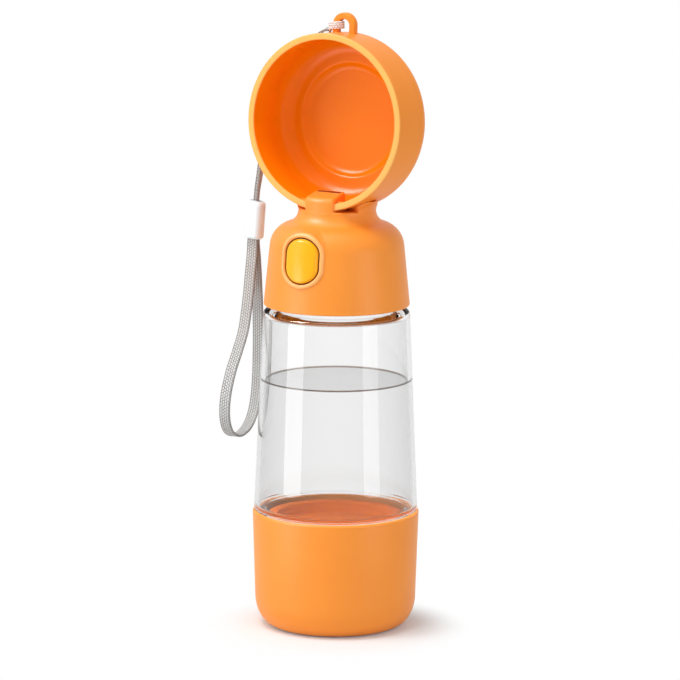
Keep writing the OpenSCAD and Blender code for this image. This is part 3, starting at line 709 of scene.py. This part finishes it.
# %% Orange pad under the tank's floor
pad_outline = outline(
    (0, 44.0), (22.0, 44.0), (24.0, 47.6), (29.3, 47.8), (29.6, 48.1), (29.6, 49.2), (29.3, 49.5),  # rim
    arc((25.8, 48.7), 0.8, 90, 150, 5), arc((22.6, 47.3), 1.6, -20, -90, 5), (22.0, 45.7), (0, 45.7))  # dish
pad = new_object("tank_floor_pad", *turned(pad_outline, 128), 40)
# The pad's deep tone is painted shade.
finished(pad, shaded_matte_orange, "tank", "deep_orange")

# %% [markdown]
# The water is its own closed solid that reaches a tenth of a millimetre into the wall. With a gap
# there would be a film of air between them, and the wet part would look like silver. What the eye
# takes for the water line is two more things: the rippled surface, a thin disc on top, and the edge
# that climbs the wall, a ring whose upper side is a hollow curve. They could be faces of the one
# solid, but the three differ in how they bend light, so each is a piece.

# %% Water
FILL_Z = 108.2
OVERLAP = 0.1
# The inner wall tapers from a radius of 33.3 at z = 54.8 to 29.6 at z = 135.2.
wall_r = 33.3 + (29.6 - 33.3) * (FILL_Z - 54.8) / (135.2 - 54.8)
water_outline = outline((0, 52.6), (31.6, 52.6), arc((32.2, 53.85), 1.15 + OVERLAP, -70, 0, 8),
                        (wall_r + OVERLAP, FILL_Z - 0.1), (wall_r - 0.2, FILL_Z), (0, FILL_Z))
finished(new_object("water_fill", *turned(water_outline, 192), 50), still_water, "tank", "clear")
skin_outline = outline((0, FILL_Z + 0.05), (wall_r - 0.7, FILL_Z + 0.05), (wall_r - 0.6, FILL_Z + 0.2),
                       (wall_r - 0.7, FILL_Z + 0.35), (0, FILL_Z + 0.35))
finished(new_object("water_skin", *turned(skin_outline, 192), 50), water_skin, "tank", "clear")
climb = np.linspace(0, 1, 8)
meniscus_outline = outline(
    (wall_r - 0.9, FILL_Z + 0.05), (wall_r + OVERLAP, FILL_Z + 0.02), (wall_r + OVERLAP, FILL_Z + 0.75),
    np.stack([wall_r - 0.9 * climb, FILL_Z + 0.12 + 0.63 * (1 - climb) ** 2.2], 1))
finished(new_object("water_meniscus", *turned(meniscus_outline, 192), 50), water_edge, "tank", "clear")
print("water surface at", FILL_Z, "mm, radius", round(wall_r, 2), "mm")

# %% [markdown]
# ## The head
#
# Its body screws on the tank and holds the valve. The round part could be turned alone, but the
# button's bezel has to follow its curved side, so that side is written as a formula first: a radius
# for each height. The hood is the small raised front that carries the button. Its shoulder falls away
# later than the head's own, so it stands proud there.

# %% The head's side as a formula
# Radius and height of the shoulder circle's centre, and its radius.
HEAD_SHOULDER = (18.0, 166.0, 11.0)
HOOD_SHOULDER = (21.55, 170.5, 7.0)


def side_radius(z, centre_r, centre_z, round_r):
    """Radius of a side at z: a straight taper up to the shoulder, then a circle round its centre."""
    taper = 31.5 - (z - 140.9) * 2.5 / 25.1
    shoulder = centre_r + np.sqrt(np.maximum(round_r**2 - (z - centre_z) ** 2, 0.01))
    return np.where(z < centre_z + 0.1 * round_r, taper, shoulder)


def on_hood(x, z, lift=0.0):
    """The point of the hood's front at that x and z, lifted along the surface's normal. The normal comes
    from the slope of the radius over 0.1 mm."""
    r = side_radius(z, *HOOD_SHOULDER)
    slope = (side_radius(z + 0.05, *HOOD_SHOULDER) - side_radius(z - 0.05, *HOOD_SHOULDER)) / 0.1
    y = -np.sqrt(r**2 - x**2)
    normal = unit(np.stack([x / r, y / r, -slope], -1))
    return np.stack([x, y, z], -1) + lift * normal


def on_head(x, z):
    """The point of the head's own front at that x and z: y = -root of (r^2 - x^2)."""
    r = side_radius(z, *HEAD_SHOULDER)
    return np.stack([x, -np.sqrt(np.maximum(r**2 - x**2, 1.0)), z], -1)


print("the hood stands proud by", round(float(side_radius(172.0, *HOOD_SHOULDER)
                                             - side_radius(172.0, *HEAD_SHOULDER)), 2), "mm at z = 172")

# %% [markdown]
# The shell runs from the rim up the tapered side, over the shoulder and through a hollow curve into
# the neck. A modifier could give that skin a thickness, but the inside has a step for the collar and
# a bore that no even wall has, so both sides are in one outline that is turned. The button's opening,
# a slot with flattened ends, is cut through the front of the wall.

# %% Head shell
BUTTON_Z = 163.5
BUTTON_R, BUTTON_HALF, BUTTON_FLAT = 8.45, 2.85, 0.84


def at_button(ring, y):
    """A ring of points (across, up) round the button's middle, put at y: (x, y, z)."""
    return np.stack([ring[:, 0], np.broadcast_to(y, len(ring)), ring[:, 1] + BUTTON_Z], 1)


head_outline = outline(
    (0, 179.9), (12.2, 179.9), (12.3, 179.8), (12.3, 175.4), (12.5, 175.2),  # inside of the neck
    arc((18.0, 166.0), 9.2, 90, 5.7, 18), (27.7, 154.6),  # inside of the shoulder
    (27.0, 153.2), (27.0, 152.1), (28.5, 152.0), (29.7, 141.2),  # step for the collar
    arc((30.05, 141.35), 0.45, 180, 270, 4), arc((30.95, 141.45), 0.55, 270, 365.7, 6),  # rim
    arc((18.0, 166.0), 11.0, 5.7, 74.1, 28), arc((22.65, 182.3), 5.95, 254.1, 180, 20)[1:],  # shoulder, neck
    (16.7, 182.6), (16.3, 183.0), (0, 183.0))
head_shell = new_object("head_shell", *turned(head_outline, 192), 40)
opening, _ = slot_ring(BUTTON_R + 0.6, BUTTON_HALF, squash=BUTTON_FLAT)
opening_rings = np.stack([at_button(opening, y) for y in (-15.0, -45.0)])
cut(head_shell, new_object("opening_tool", *lofted(opening_rings)), sharp=40)
finished(head_shell, soft_touch_orange, "head", "orange", "housing")

# %% [markdown]
# Round the opening runs a bezel, a soft raised lip that keeps the button from being pressed by chance. On the
# real head it is one with the wall. It could be welded in by hand, but its foot has to melt into a curved
# side. So it is a ring of its own: the slot outline moved outwards step by step, each step dropped onto the
# side and lifted along its normal. The foot blends from the head's side to the hood's, and the top of the lip
# takes a paler tone, a painted highlight.

# %% Button's bezel
BEZEL_STEPS = 128
# The foot: distance from the opening, and share of the hood's side against the head's.
BEZEL_FOOT = [(3.7, -0.1), (3.2, 0.06), (2.8, 0.24), (2.45, 0.52), (2.2, 0.82)]
# The lip: distance from the opening, and lift off the hood's side.
BEZEL_LIP = [(2.05, 0.1), (1.9, 0.35), (1.7, 0.6), (1.4, 0.8), (1.05, 0.9), (0.7, 0.9), (0.4, 0.8),
             (0.15, 0.55), (0.0, 0.2)]
# The opening's wall: depths behind the hood's side. The outermost ring is sunk into the head.
BEZEL_WALL = (0.5, 2.5, 5.0)
BEZEL_SUNK = 0.3

edge, out = slot_ring(BUTTON_R, BUTTON_HALF, BEZEL_STEPS, BUTTON_FLAT)
rows = []
for gap, share in BEZEL_FOOT:
    x, z = (edge + gap * out).T + [[0], [BUTTON_Z]]
    rows.append(on_head(x, z) * (1 - share) + on_hood(x, z, -0.05) * share)
rows[0][:, 1] += BEZEL_SUNK
for gap, lift in BEZEL_LIP:
    x, z = (edge + gap * out).T + [[0], [BUTTON_Z]]
    rows.append(on_hood(x, z, lift))
front = on_hood(edge[:, 0], edge[:, 1] + BUTTON_Z)[:, 1]
rows += [at_button(edge, front + depth) for depth in BEZEL_WALL]
rows.append(at_button(edge + out, front + BEZEL_WALL[-1]))
# Share of the paler tone on each row: a painted highlight on the top of the lip.
lip_highlight = np.array([0.0] * len(BEZEL_FOOT) + [min(1.0, lift / 0.7) for _, lift in BEZEL_LIP]
                 + [0.0] * (len(BEZEL_WALL) + 1))
bezel = new_object("button_bezel", np.concatenate(rows),
                   grid_faces(len(rows), BEZEL_STEPS, True, True).tolist(), 60)
toned(bezel, "edge", lambda points: 0.6 * np.repeat(lip_highlight, BEZEL_STEPS))
finished(bezel, soft_touch_orange, "head", "orange")

# %% [markdown]
# The button is a slot-shaped cap whose front is bent like a piece of a cylinder, so that a thumb
# finds it. Behind the wall it has a flange that keeps it in. It could be a box with big bevels; rings
# give the flange, the side, the rounded edge and the dome in one closed skin, from the middle of the
# back to the middle of the front.

# %% Button
CAP_STEPS = 96
CAP_R, CAP_EDGE = BUTTON_R - 0.6, 1.3
FLANGE_TOP = 170.0
# Radius of the half circles, half straight and y, from the middle of the flange's back to its front.
FLANGE = [(0.02, 0.02, -23.0), (6, 1, -23.0), (9.6, 1.9, -23.0), (9.6, 1.9, -24.6), (8.35, 2.6, -24.6)]


def cap_ring(radius, half_straight):
    """A slot outline with the button's flattened ends."""
    return slot_ring(radius, half_straight, CAP_STEPS, BUTTON_FLAT)[0]


def dome_y(ring):
    """Front of the button at (x, dz), dz being the height over its middle. It follows the head's taper and
    bends like a cylinder of radius 15: y = -31.2 + 0.1 dz + x^2 / 30, with dz^2 / 130 for a slight crown."""
    x, dz = ring.T
    return -31.2 + 0.1 * dz + x**2 / 30 + dz**2 / 130


rows = [at_button(cap_ring(radius, half), y) for radius, half, y in FLANGE]
for row in rows:
    row[:, 2] = np.minimum(row[:, 2], FLANGE_TOP)
rows.append(at_button(cap_ring(CAP_R, BUTTON_HALF), -25.0))
for t in np.radians(np.linspace(0, 90, 9)):
    ring = cap_ring(CAP_R - CAP_EDGE * (1 - math.cos(t)), BUTTON_HALF)
    rows.append(at_button(ring, dome_y(ring) + CAP_EDGE * (1 - math.sin(t))))
for share in (0.85, 0.7, 0.55, 0.4, 0.25, 0.12, 0.002):
    ring = cap_ring((CAP_R - CAP_EDGE) * share, BUTTON_HALF * share)
    rows.append(at_button(ring, dome_y(ring)))
button = new_object("button_cap", *lofted(np.stack(rows)), 50)
finished(button, smooth_yellow, "button", "yellow", "button")

# %% [markdown]
# In the gap round the button sits a dark brown ring that draws the thin dark line of shade in the gap:
# painted shade. A line could be painted on the wall, but it would lie on the surface and not in the gap. The
# ring has an oblong section, a little behind the side's surface.

# %% Dark ring of painted shade in the button's gap
# Radius of the half circles, and depth behind the side's surface.
GAP_SHADE_RING = [(CAP_R + 0.05, 1.6), (BUTTON_R + 0.1, 1.6), (BUTTON_R + 0.1, 0.15), (CAP_R + 0.05, 0.15)]
rows = []
for radius, depth in GAP_SHADE_RING:
    ring = cap_ring(radius, BUTTON_HALF)
    rows.append(at_button(ring, on_hood(ring[:, 0], ring[:, 1] + BUTTON_Z)[:, 1] + depth))
gap_shade_ring = new_object("button_gap_shade", np.concatenate(rows),
                    grid_faces(len(GAP_SHADE_RING), CAP_STEPS, True, True).tolist(), 40)
finished(gap_shade_ring, gap_shade_brown, "head", "silicone")

# %% [markdown]
# The hinge block grows out of the front of the neck and holds the pin. It could be a bevelled box, but its
# front follows the neck's circle. So it is an outline in the plane of Y and Z carried along X, drawn in a
# little near both ends, which rounds the edges, and its front half is moved back onto the circle. Behind its
# top lies the slot that the water comes out of, and a dark red block in it stands for the shade in the slot:
# painted shade.

# %% Hinge block
PIN = np.array([0.0, -11.5, 186.05])
BLOCK_HALF, BLOCK_EDGE = 6.1, 0.9
FRONT_Y, FRONT_R = -16.2, 16.75


def block_section(steps=8):
    """Front up, round the nose, back over the top and down: points (y, z) from the foot's front."""
    top, back, nose = PIN[2] + 4.8, PIN[1] + 7.0, 2.6
    return outline((FRONT_Y, 181.2), (FRONT_Y, 184),
                   arc((FRONT_Y + nose, top - 1.6 - nose), nose, 180, 100, steps),
                   arc((back - 1, top - 1), 1, 90, 0, 5), (back, 181.2))


section = block_section()
direction = np.gradient(section, axis=0)
inward = unit(np.stack([direction[:, 1], -direction[:, 0]], 1))
t = np.radians(np.linspace(-90, 90, 25))
x = np.sign(t) * (BLOCK_HALF + BLOCK_EDGE * np.abs(np.sin(t)))
flat = section + inward * (BLOCK_EDGE * (1 - np.cos(t)))[:, None, None]
onto_circle = -FRONT_Y - np.sqrt(FRONT_R**2 - x**2)
y = flat[..., 0] + onto_circle[:, None] * (flat[..., 0] < PIN[1] - 1.0)
rings = np.stack([np.broadcast_to(x[:, None], y.shape), y, flat[..., 1]], -1)
hinge_block = new_object("hinge_block", *lofted(rings[:, ::-1]), 40)
outlet_slot = box_solid((-5.8, PIN[1] + 3.9, 180), (5.8, PIN[1] + 6.0, 200))
cut(hinge_block, new_object("slot_tool", *outlet_slot), sharp=40)
finished(hinge_block, soft_touch_orange, "head", "orange")
# A dark red block in the slot: painted shade, since the slot is dark only from shade.
slit_shade_box = box_solid((-5.7, PIN[1] + 4.7, 184.0), (5.7, PIN[1] + 5.8, 190.8))
finished(new_object("outlet_slit_painted_shade", *slit_shade_box), slit_shade_red, "head", "silicone")

# %% [markdown]
# The bowl leans back by 3.3 degrees with its hinge. Its pieces are drawn upright round the pin and
# then leant by one function, which is simpler than drawing them askew.

# %% The bowl's lean
LEAN = math.radians(3.3)
BOWL_R = 37.9
# The middle of the bowl's mouth, from the pin.
MOUTH = np.array([0.0, -2.5, BOWL_R - 3.0])


def from_pin(points):
    """Points given from the hinge pin, turned about it by the lean and put into the bottle's frame."""
    p = np.asarray(points, float)
    c, s = math.cos(LEAN), math.sin(LEAN)
    return np.stack([p[:, 0], p[:, 1] * c + p[:, 2] * s, -p[:, 1] * s + p[:, 2] * c], 1) + PIN


mouth, behind = from_pin([MOUTH, MOUTH + [0, 1, 0]])
bowl_axis = behind - mouth
print("middle of the bowl's mouth:", mouth.round(2).tolist())

# %% [markdown]
# Behind the block the neck flares out and holds the bowl's wall like a saddle. Its underside is the
# flare's curve, and its top is the bowl's own cylinder, set off by a gap. That could be cut with a
# Boolean, but its thin edge would come out ragged. For each direction round the neck the two surfaces
# come within 0.6 mm of each other at some radius, which is found by halving. The skin then runs out
# to that radius on top and back below.

# %% Saddle
SADDLE_STEPS = 121
SADDLE_GAP, SADDLE_EDGE = 0.1, 0.6
SADDLE_INNER, SADDLE_OUTER = 8.0, 20.1
SADDLE_TOP, SADDLE_FOOT = 187.4, 181.0
NECK_R = 16.72
# The saddle's front ends this far in front of the axis, behind the hinge block's face.
SADDLE_FRONT = 7.65


def bowl_underside(x, y):
    """Height of the lowest point over (x, y) of a cylinder, wider than the bowl by the gap, on the bowl's
    leaning axis: the axis's height at y, less the root of (radius^2 - x^2) over the cosine of the lean."""
    axis_z = mouth[2] - (y - mouth[1]) * math.tan(LEAN)
    return axis_z - np.sqrt(np.maximum((BOWL_R + SADDLE_GAP) ** 2 - x**2, 0)) / math.cos(LEAN)


def flare_height(r):
    """Height at radius r of the flare's circle, whose centre is at r 23.2 and z 181.7 and radius 6.5."""
    return 181.7 + np.sqrt(np.maximum(6.5**2 - (23.2 - r) ** 2, 0))


around = np.radians(np.linspace(-27.2, 207.2, SADDLE_STEPS))
cos, sin = np.cos(around), np.sin(around)
front_limit = np.where(sin < 0, SADDLE_FRONT / np.maximum(-sin, 1e-6), 99)
low = np.full(SADDLE_STEPS, NECK_R)
high = np.clip(front_limit, NECK_R + 0.02, SADDLE_OUTER)
for _ in range(30):
    middle = (low + high) / 2
    thick_enough = bowl_underside(middle * cos, middle * sin) > flare_height(middle) + SADDLE_EDGE
    low, high = np.where(thick_enough, middle, low), np.where(thick_enough, high, middle)
reach = np.maximum(high, NECK_R + 0.02)
top_r = SADDLE_INNER + (reach - SADDLE_INNER) * np.linspace(0, 1, 14)[:, None]
top_z = np.maximum(np.minimum(bowl_underside(top_r * cos, top_r * sin), SADDLE_TOP),
                   flare_height(np.maximum(top_r, NECK_R)) * (top_r > NECK_R))
below_r = NECK_R - 0.12 + (reach - NECK_R + 0.12) * np.linspace(1, 0, 10)[1:, None]
below_z = flare_height(np.maximum(below_r, NECK_R))
foot_r = np.array([[16.0], [SADDLE_INNER]]) * np.ones(SADDLE_STEPS)
radius = np.vstack([top_r, below_r, foot_r])
height = np.vstack([top_z, below_z, np.full(foot_r.shape, SADDLE_FOOT)])
profiles = np.stack([radius * cos, radius * sin, height], -1).transpose(1, 0, 2)
saddle = new_object("saddle", *lofted(profiles), 40)
finished(saddle, soft_touch_orange, "head", "orange")

# %% [markdown]
# ## The bowl
#
# The bowl is a deep round dish with a rolled rim, a rounded corner between wall and floor, and a
# recessed middle in the floor. It is turned about its own axis with its mouth at height 0, then laid
# on its side and leant back. A notch in the rim makes room for the hinge block. Its edges flare out
# by a quarter circle, as a mould would leave them, and that shape is drawn into the cutting tool,
# since a bevel on a cut edge often fails.

# %% Bowl body
bowl_outline = outline(
    (0, 25.2), (20.8, 25.2), arc((20.8, 20.8), 4.4, 90, 36, 12), (24.75, 23.08), (25.2, 22.95),  # recess
    (25.9, 22.95), arc((27.6, 15.45), 7.5, 90, 0, 16), (35.1, 9), (35.1, 1.6),  # floor's rim and inner wall
    (35.15, 0.9), arc((35.6, 0.45), 0.45, 180, 270, 5), arc((37.4, 0.5), 0.5, 270, 360, 6),  # rolled rim
    (37.9, 0.9), (37.9, 1.6), (37.9, 9), arc((29.9, 19), 8.0, 0, 90, 16), (0, 27))  # outer wall and back


def in_bowl(points):
    """Points turned about Z with the mouth at z = 0, laid along Y, moved to the hinge and leant back."""
    return from_pin(points[:, [0, 2, 1]] * [1, 1, -1] + MOUTH)


def notch_tool(half_wide, back, flare):
    """A bar along Y whose half width grows by a quarter circle of that radius towards the wall's faces."""
    side = outline((half_wide + flare, 6.0), arc((half_wide + flare, 0.75 - flare), flare, 90, 180, 6),
                   arc((half_wide + flare, -2.2 + flare), flare, 180, 270, 6), (half_wide + flare, -6.0))
    section = np.concatenate([side, side[::-1] * [-1, 1]])
    return lofted(np.stack([np.stack([section[:, 0], np.full(len(section), y), section[:, 1]], 1)
                            for y in (back, -10.0)]))


bowl_points, bowl_faces = turned(bowl_outline, 192)
bowl = new_object("bowl_body", in_bowl(bowl_points), bowl_faces, 40)
notch_points, notch_faces = notch_tool(7.35, 8.6, 1.2)
cut(bowl, new_object("notch_tool", from_pin(notch_points), notch_faces), sharp=40)
print("the notched bowl has", len(bowl.data.polygons), "faces")

# %% [markdown]
# The rim lies in the light, so it looks paler, while the inside throws its own colour back on itself and
# looks deeper. Light does part of that by itself. The rest is painted: a painted highlight on the rim and
# painted shade inside, as a tone on each point, worked out from its depth in the bowl and its distance from
# the bowl's axis. The inside is also smoother.

# %% The bowl's painted highlight and shade
def bowl_depth(points):
    """Depth behind the mouth's plane, and distance from the bowl's axis."""
    depth = (points - mouth) @ bowl_axis
    return depth, np.linalg.norm(points - mouth - depth[:, None] * bowl_axis, axis=1)


def rim_highlight(points):
    """Painted highlight on the rim: 0.85 at a depth of 0.4 mm or less, and nothing from 0.8 mm down."""
    return 0.85 * ((0.8 - bowl_depth(points)[0]) / 0.4)


def is_inside(points):
    """One where a point lies within the inner profile and behind the rim, else nothing."""
    depth, away = bowl_depth(points)
    return (depth > 0.8) & (away < 35.3) & (depth < 24.0 + 1.3 * (away < 27))


# The rim's pale tone is a painted highlight.
toned(bowl, "edge", rim_highlight)
# The inside's deeper tone is painted shade, and the inside is made smoother.
toned(bowl, "polish_and_shade", is_inside)
finished(bowl, satin_orange, "bowl", "deep_orange", "bowl")

# %% [markdown]
# Two ears on the bowl hold the pin's ends. Each is a flat disc with a rounded edge. It could be a
# cylinder with a bevel, but turning an outline gives the rounding at once. The two are one shape,
# mirrored in two directions, because one mirroring would turn its faces inwards.

# %% Ears round the pin
EAR = outline((0, -11.6), (1.2, -11.6), (1.6, -11.2), (1.6, -7.8), (1.3, -7.5), (0, -7.5))
for name, side in (("bowl_ear_left", 1), ("bowl_ear_right", -1)):
    points, faces = turned(EAR, 48)
    points = points[:, [2, 0, 1]] * [side, 1, side]
    finished(new_object(name, points + PIN, faces, 40), satin_orange, "bowl", "deep_orange")

# %% [markdown]
# The lug is an arch of plastic on top of the bowl that the strap hangs from. A bent tube would be
# round; its real section is a rounded oblong, which is carried round a half circle with a straight
# leg at each end. The legs stand in the bowl's wall.

# %% Strap lug
LUG = np.array([0.0, 12.9, 75.7])
ARCH_R = 4.1
leg_x, leg_z = np.full(5, ARCH_R), np.linspace(-4.2, -0.5, 5)
arch = outline(np.stack([leg_x, leg_z], 1), arc((0, 0), ARCH_R, 0, 180, 32),
               np.stack([-leg_x, leg_z[::-1]], 1))
along = unit(np.gradient(arch, axis=0))
outward = np.stack([along[:, 1], -along[:, 0]], 1)
section = outline(arc((0.9, 1.1), 0.5, 0, 90, 4), arc((-0.85, 1.1), 0.5, 90, 180, 4),
                  arc((-0.85, -1.1), 0.5, 180, 270, 4), arc((0.9, -1.1), 0.5, 270, 360, 4))
in_plane = arch[:, None] + outward[:, None] * section[None, :, :1]
rings = np.stack([in_plane[..., 0], np.broadcast_to(-section[:, 1], in_plane.shape[:2]),
                  in_plane[..., 1]], -1)
lug_points, lug_faces = lofted(rings[::-1])
lug = new_object("strap_lug", from_pin(lug_points + LUG), lug_faces, 50)
finished(lug, satin_orange, "bowl", "deep_orange")

# %% [markdown]
# The strap goes round the lug's left leg. This short turn of webbing could be left out, but the strap
# would then seem to float beside the lug. It is a strap too: its path is a long oval about the leg,
# with its width upright. It stays with the lug when the bowl folds, while the strap below it goes on
# hanging, so it is a piece apart.

# %% Turn of strap round the lug's leg
TURN = [[-7.6, 0.6, -2.2], [-7.3, -0.7, -1.1], [-6.4, -1.9, -0.1], [-4.6, -2.5, 0.2], [-2.8, -2.3, 0.4],
        [-1.6, -1.3, 0.5], [-1.2, 0, 0.5], [-1.6, 1.2, 0.3], [-2.8, 2.1, 0.1], [-4.1, 2.5, 0],
        [-5.6, 2.1, -0.3], [-6.6, 1.4, -1.0], [-7.2, 0.9, -2.0]]
leg_y = from_pin([LUG - [ARCH_R, 0, 0]])[0, 1]
turn_path, turn_along = smooth_route(np.array(TURN) + [0, leg_y, 260.6], 0.4)
turn_sides = np.broadcast_to([0.0, -0.06, 1.0], turn_path.shape)
strap_turn = strap("strap_turn_webbing", turn_path, turn_sides, 3.2, 0.9, 0.3)
# Its paler webbing is a lit copy of the strap's: painted light.
finished(strap_turn, lit_webbing, "bowl", "webbing")
print("turn of strap:", round(turn_along[-1], 1), "mm long")

# %% [markdown]
# ## The hidden pieces
#
# The collar, the duct and the valve come ready from the frame. They could be built again, but nobody
# sees more of them than a glimpse through the tank, so they keep their exact meshes and only take a
# finish: orange for the collar, steel for the pin and the screws, white acetal for what slides,
# silicone for what seals.

# %% Finishes of the frame's own meshes
hidden_finish = {
    satin_orange: ["threaded_collar"],
    white_acetal: ["outlet_duct", "valve_plunger", "push_rod", "rod_seal_cap"],
    pale_silicone: ["base_seal", "neck_gasket", "duct_seal", "vent_valve", "valve_plug", "rod_seal"],
    steel: ["duct_screws", "hinge_pin"],
}
for material, names in hidden_finish.items():
    for name in names:
        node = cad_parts[name]
        if not node.material_slots:
            node.data.materials.append(material)
        for slot in node.material_slots:
            slot.material = material
print("hidden pieces:", sum(len(names) for names in hidden_finish.values()))

# %% [markdown]
# The return spring is the one hidden piece that changes its shape: it gets 2.2 mm shorter as the plunger
# comes down and the valve opens. It is wound again here, a round wire carried along a helix the length of the
# frame's spring, with a mesh of its own.

# %% Return spring
WIRE_R, COIL_R, COIL_TURNS, VALVE_TRAVEL = 0.4, 3.4, 4.5, 2.2
spring_low, spring_high = (corner[2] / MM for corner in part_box("return_spring"))


def coil(steps=216, sides=12):
    """Wire round the helix (R cos a, R sin a, rising z). At angle b round the wire a point stands off by
    the wire's radius times (cos b outward - sin b across), across being square to outward and forward."""
    a = np.linspace(0, 2 * math.pi * COIL_TURNS, steps)
    b = np.linspace(0, 2 * math.pi, sides, endpoint=False)[:, None]
    z = np.linspace(spring_low + WIRE_R, spring_high - WIRE_R, steps)
    path = np.stack([COIL_R * np.cos(a), COIL_R * np.sin(a), z], 1)
    outward = np.stack([np.cos(a), np.sin(a), np.zeros(steps)], 1)
    across = np.cross(outward, unit(np.gradient(path, axis=0)))
    return path[:, None] + WIRE_R * (np.cos(b) * outward[:, None] - np.sin(b) * across[:, None])


spring = new_object("return_spring_coil", *lofted(coil()), 60)
finished(spring, steel, "head", "steel", "return_spring")
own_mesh(spring)
print("spring:", round(spring_high - spring_low, 2), "mm long")

# %% [markdown]
# ## Floor, light and background
#
# A white product picture needs a white floor that still takes the object's soft shadow. More light
# would bleach the object with it. So the floor is a plain pale surface that also glows a little
# towards the eye. From 36 to 60 mm off the shadow's middle it goes over to pure white. Clear and
# glossy things see the same white as the camera, but no light comes from it.

# %% Floor
FLOOR_HALF = 9000
SHADOW_MIDDLE = (0.0047, -0.0077, 0)
SHADOW_FROM, SHADOW_TO = 0.036, 0.060


def seen_directly(tree):
    """One for a ray from the camera, off a gloss or through a clear thing; nothing for a ray of light."""
    rays = add_node(tree, "ShaderNodeLightPath").outputs
    either = add_node(tree, "ShaderNodeMath", {0: rays["Is Camera Ray"], 1: rays["Is Glossy Ray"]},
                      operation="MAXIMUM")
    any_of = add_node(tree, "ShaderNodeMath", {0: either.outputs[0], 1: rays["Is Transmission Ray"]},
                      operation="MAXIMUM")
    return any_of.outputs[0]


floor_corners = np.array([[-1, -1, 0], [1, -1, 0], [1, 1, 0], [-1, 1, 0]]) * FLOOR_HALF
floor = new_object("floor", floor_corners, [[0, 1, 2, 3]])
material, tree, output = new_material("white_paper_floor")
seen = seen_directly(tree)
place = add_node(tree, "ShaderNodeTexCoord").outputs["Object"]
distance = add_node(tree, "ShaderNodeVectorMath", {0: place, 1: SHADOW_MIDDLE}, operation="DISTANCE")
far = add_node(tree, "ShaderNodeMapRange", {"Value": distance.outputs["Value"], "From Min": SHADOW_FROM,
                                            "From Max": SHADOW_TO}, interpolation_type="SMOOTHSTEP")
far_seen = add_node(tree, "ShaderNodeMath", {0: far.outputs[0], 1: seen}, operation="MULTIPLY")
paper = add_node(tree, "ShaderNodeBsdfDiffuse", {"Color": colour("#E0E4E6")})
glow = add_node(tree, "ShaderNodeEmission", {"Color": colour("#FFFFFF"), "Strength": 0.12})
glow_seen = add_node(tree, "ShaderNodeMixShader", {0: seen, 2: glow.outputs[0]})
near_floor = add_node(tree, "ShaderNodeAddShader", {0: paper.outputs[0], 1: glow_seen.outputs[0]})
white = add_node(tree, "ShaderNodeEmission", {"Color": colour("#FFFFFF"), "Strength": 1.0})
whole = add_node(tree, "ShaderNodeMixShader", {0: far_seen.outputs[0], 1: near_floor.outputs[0],
                                               2: white.outputs[0]})
tree.links.new(whole.outputs[0], output.inputs[0])
floor.data.materials.append(material)
print("floor:", 2 * FLOOR_HALF * MM, "m wide")

# %% [markdown]
# Three soft boxes, left, right and above, light the object. Their mirror images would lie across the
# matte plastics as grey patches, so glossy surfaces don't see them. Four more panels do the opposite
# work: they light nothing matte and only show as highlights. Two low strips draw the bright upright
# bands in the clear tank, a high one puts the crescent into the bowl's floor, and one overhead lays a
# line of light on the rims.

# %% Lamps
# Name, degrees round from the camera's side, height, distance, width and height of the panel in metres,
# power in watts, height it is aimed at, and whether it is for highlights only.
LAMPS = [
    ("left_box", -72, 0.5, 1.3, 0.6, 1.3, 8.2, 0.13, False),
    ("right_box", 40, 0.5, 1.3, 0.6, 1.3, 3.6, 0.13, False),
    ("top_box", -50, 1.6, 0.55, 0.8, 0.8, 13.5, 0.13, False),
    ("left_strip", -62, 0.075, 0.26, 0.13, 0.15, 0.29, 0.075, True),
    ("right_strip", 50, 0.093, 0.26, 0.11, 0.186, 0.2, 0.093, True),
    ("high_strip", -74, 1.1, 1.0, 0.5, 0.6, 32.0, 0.22, True),
    ("overhead_strip", 0, 1.45, 0.1, 1.0, 1.0, 6.0, 0.22, True),
]


def soft_box(name, around_deg, height, distance, width, tall, power, aim_z, highlights_only):
    """A rectangular lamp at that angle from the camera's side of the bottle, aimed at the axis at aim_z."""
    data = bpy.data.lights.new(name, "AREA")
    data.shape, data.size, data.size_y, data.energy = "RECTANGLE", width, tall, power
    lamp = bpy.data.objects.new(name, data)
    scene.collection.objects.link(lamp)
    a = VIEW_ROUND + math.radians(around_deg)
    lamp.location = (distance * math.sin(a), -distance * math.cos(a), height)
    aim = Vector((0, 0, aim_z)) - lamp.location
    lamp.rotation_mode = "QUATERNION"
    lamp.rotation_quaternion = aim.to_track_quat("-Z", "Y")
    lamp.visible_camera = lamp.visible_transmission = False
    lamp.visible_glossy = highlights_only
    lamp.visible_diffuse = not highlights_only
    return lamp


print("lamps:", [soft_box(*lamp).name for lamp in LAMPS])

# %% [markdown]
# The world gives the even light of a white room from all sides. It could be a picture of a studio,
# but one tone is enough here. What looks straight at it sees full white, while as a light it works at
# half of that, so that the colours keep their depth.

# %% World
world = bpy.data.worlds.new("white_room")
scene.world = world
world.use_nodes = True
world.node_tree.nodes.clear()
output = add_node(world.node_tree, "ShaderNodeOutputWorld")
strength = add_node(world.node_tree, "ShaderNodeMapRange", {"Value": seen_directly(world.node_tree),
                                                            "To Min": 0.5, "To Max": 1.0})
room = add_node(world.node_tree, "ShaderNodeBackground", {"Color": colour("#FFFFFF"),
                                                          "Strength": strength.outputs[0]})
world.node_tree.links.new(room.outputs[0], output.inputs[0])
print("world:", world.name)
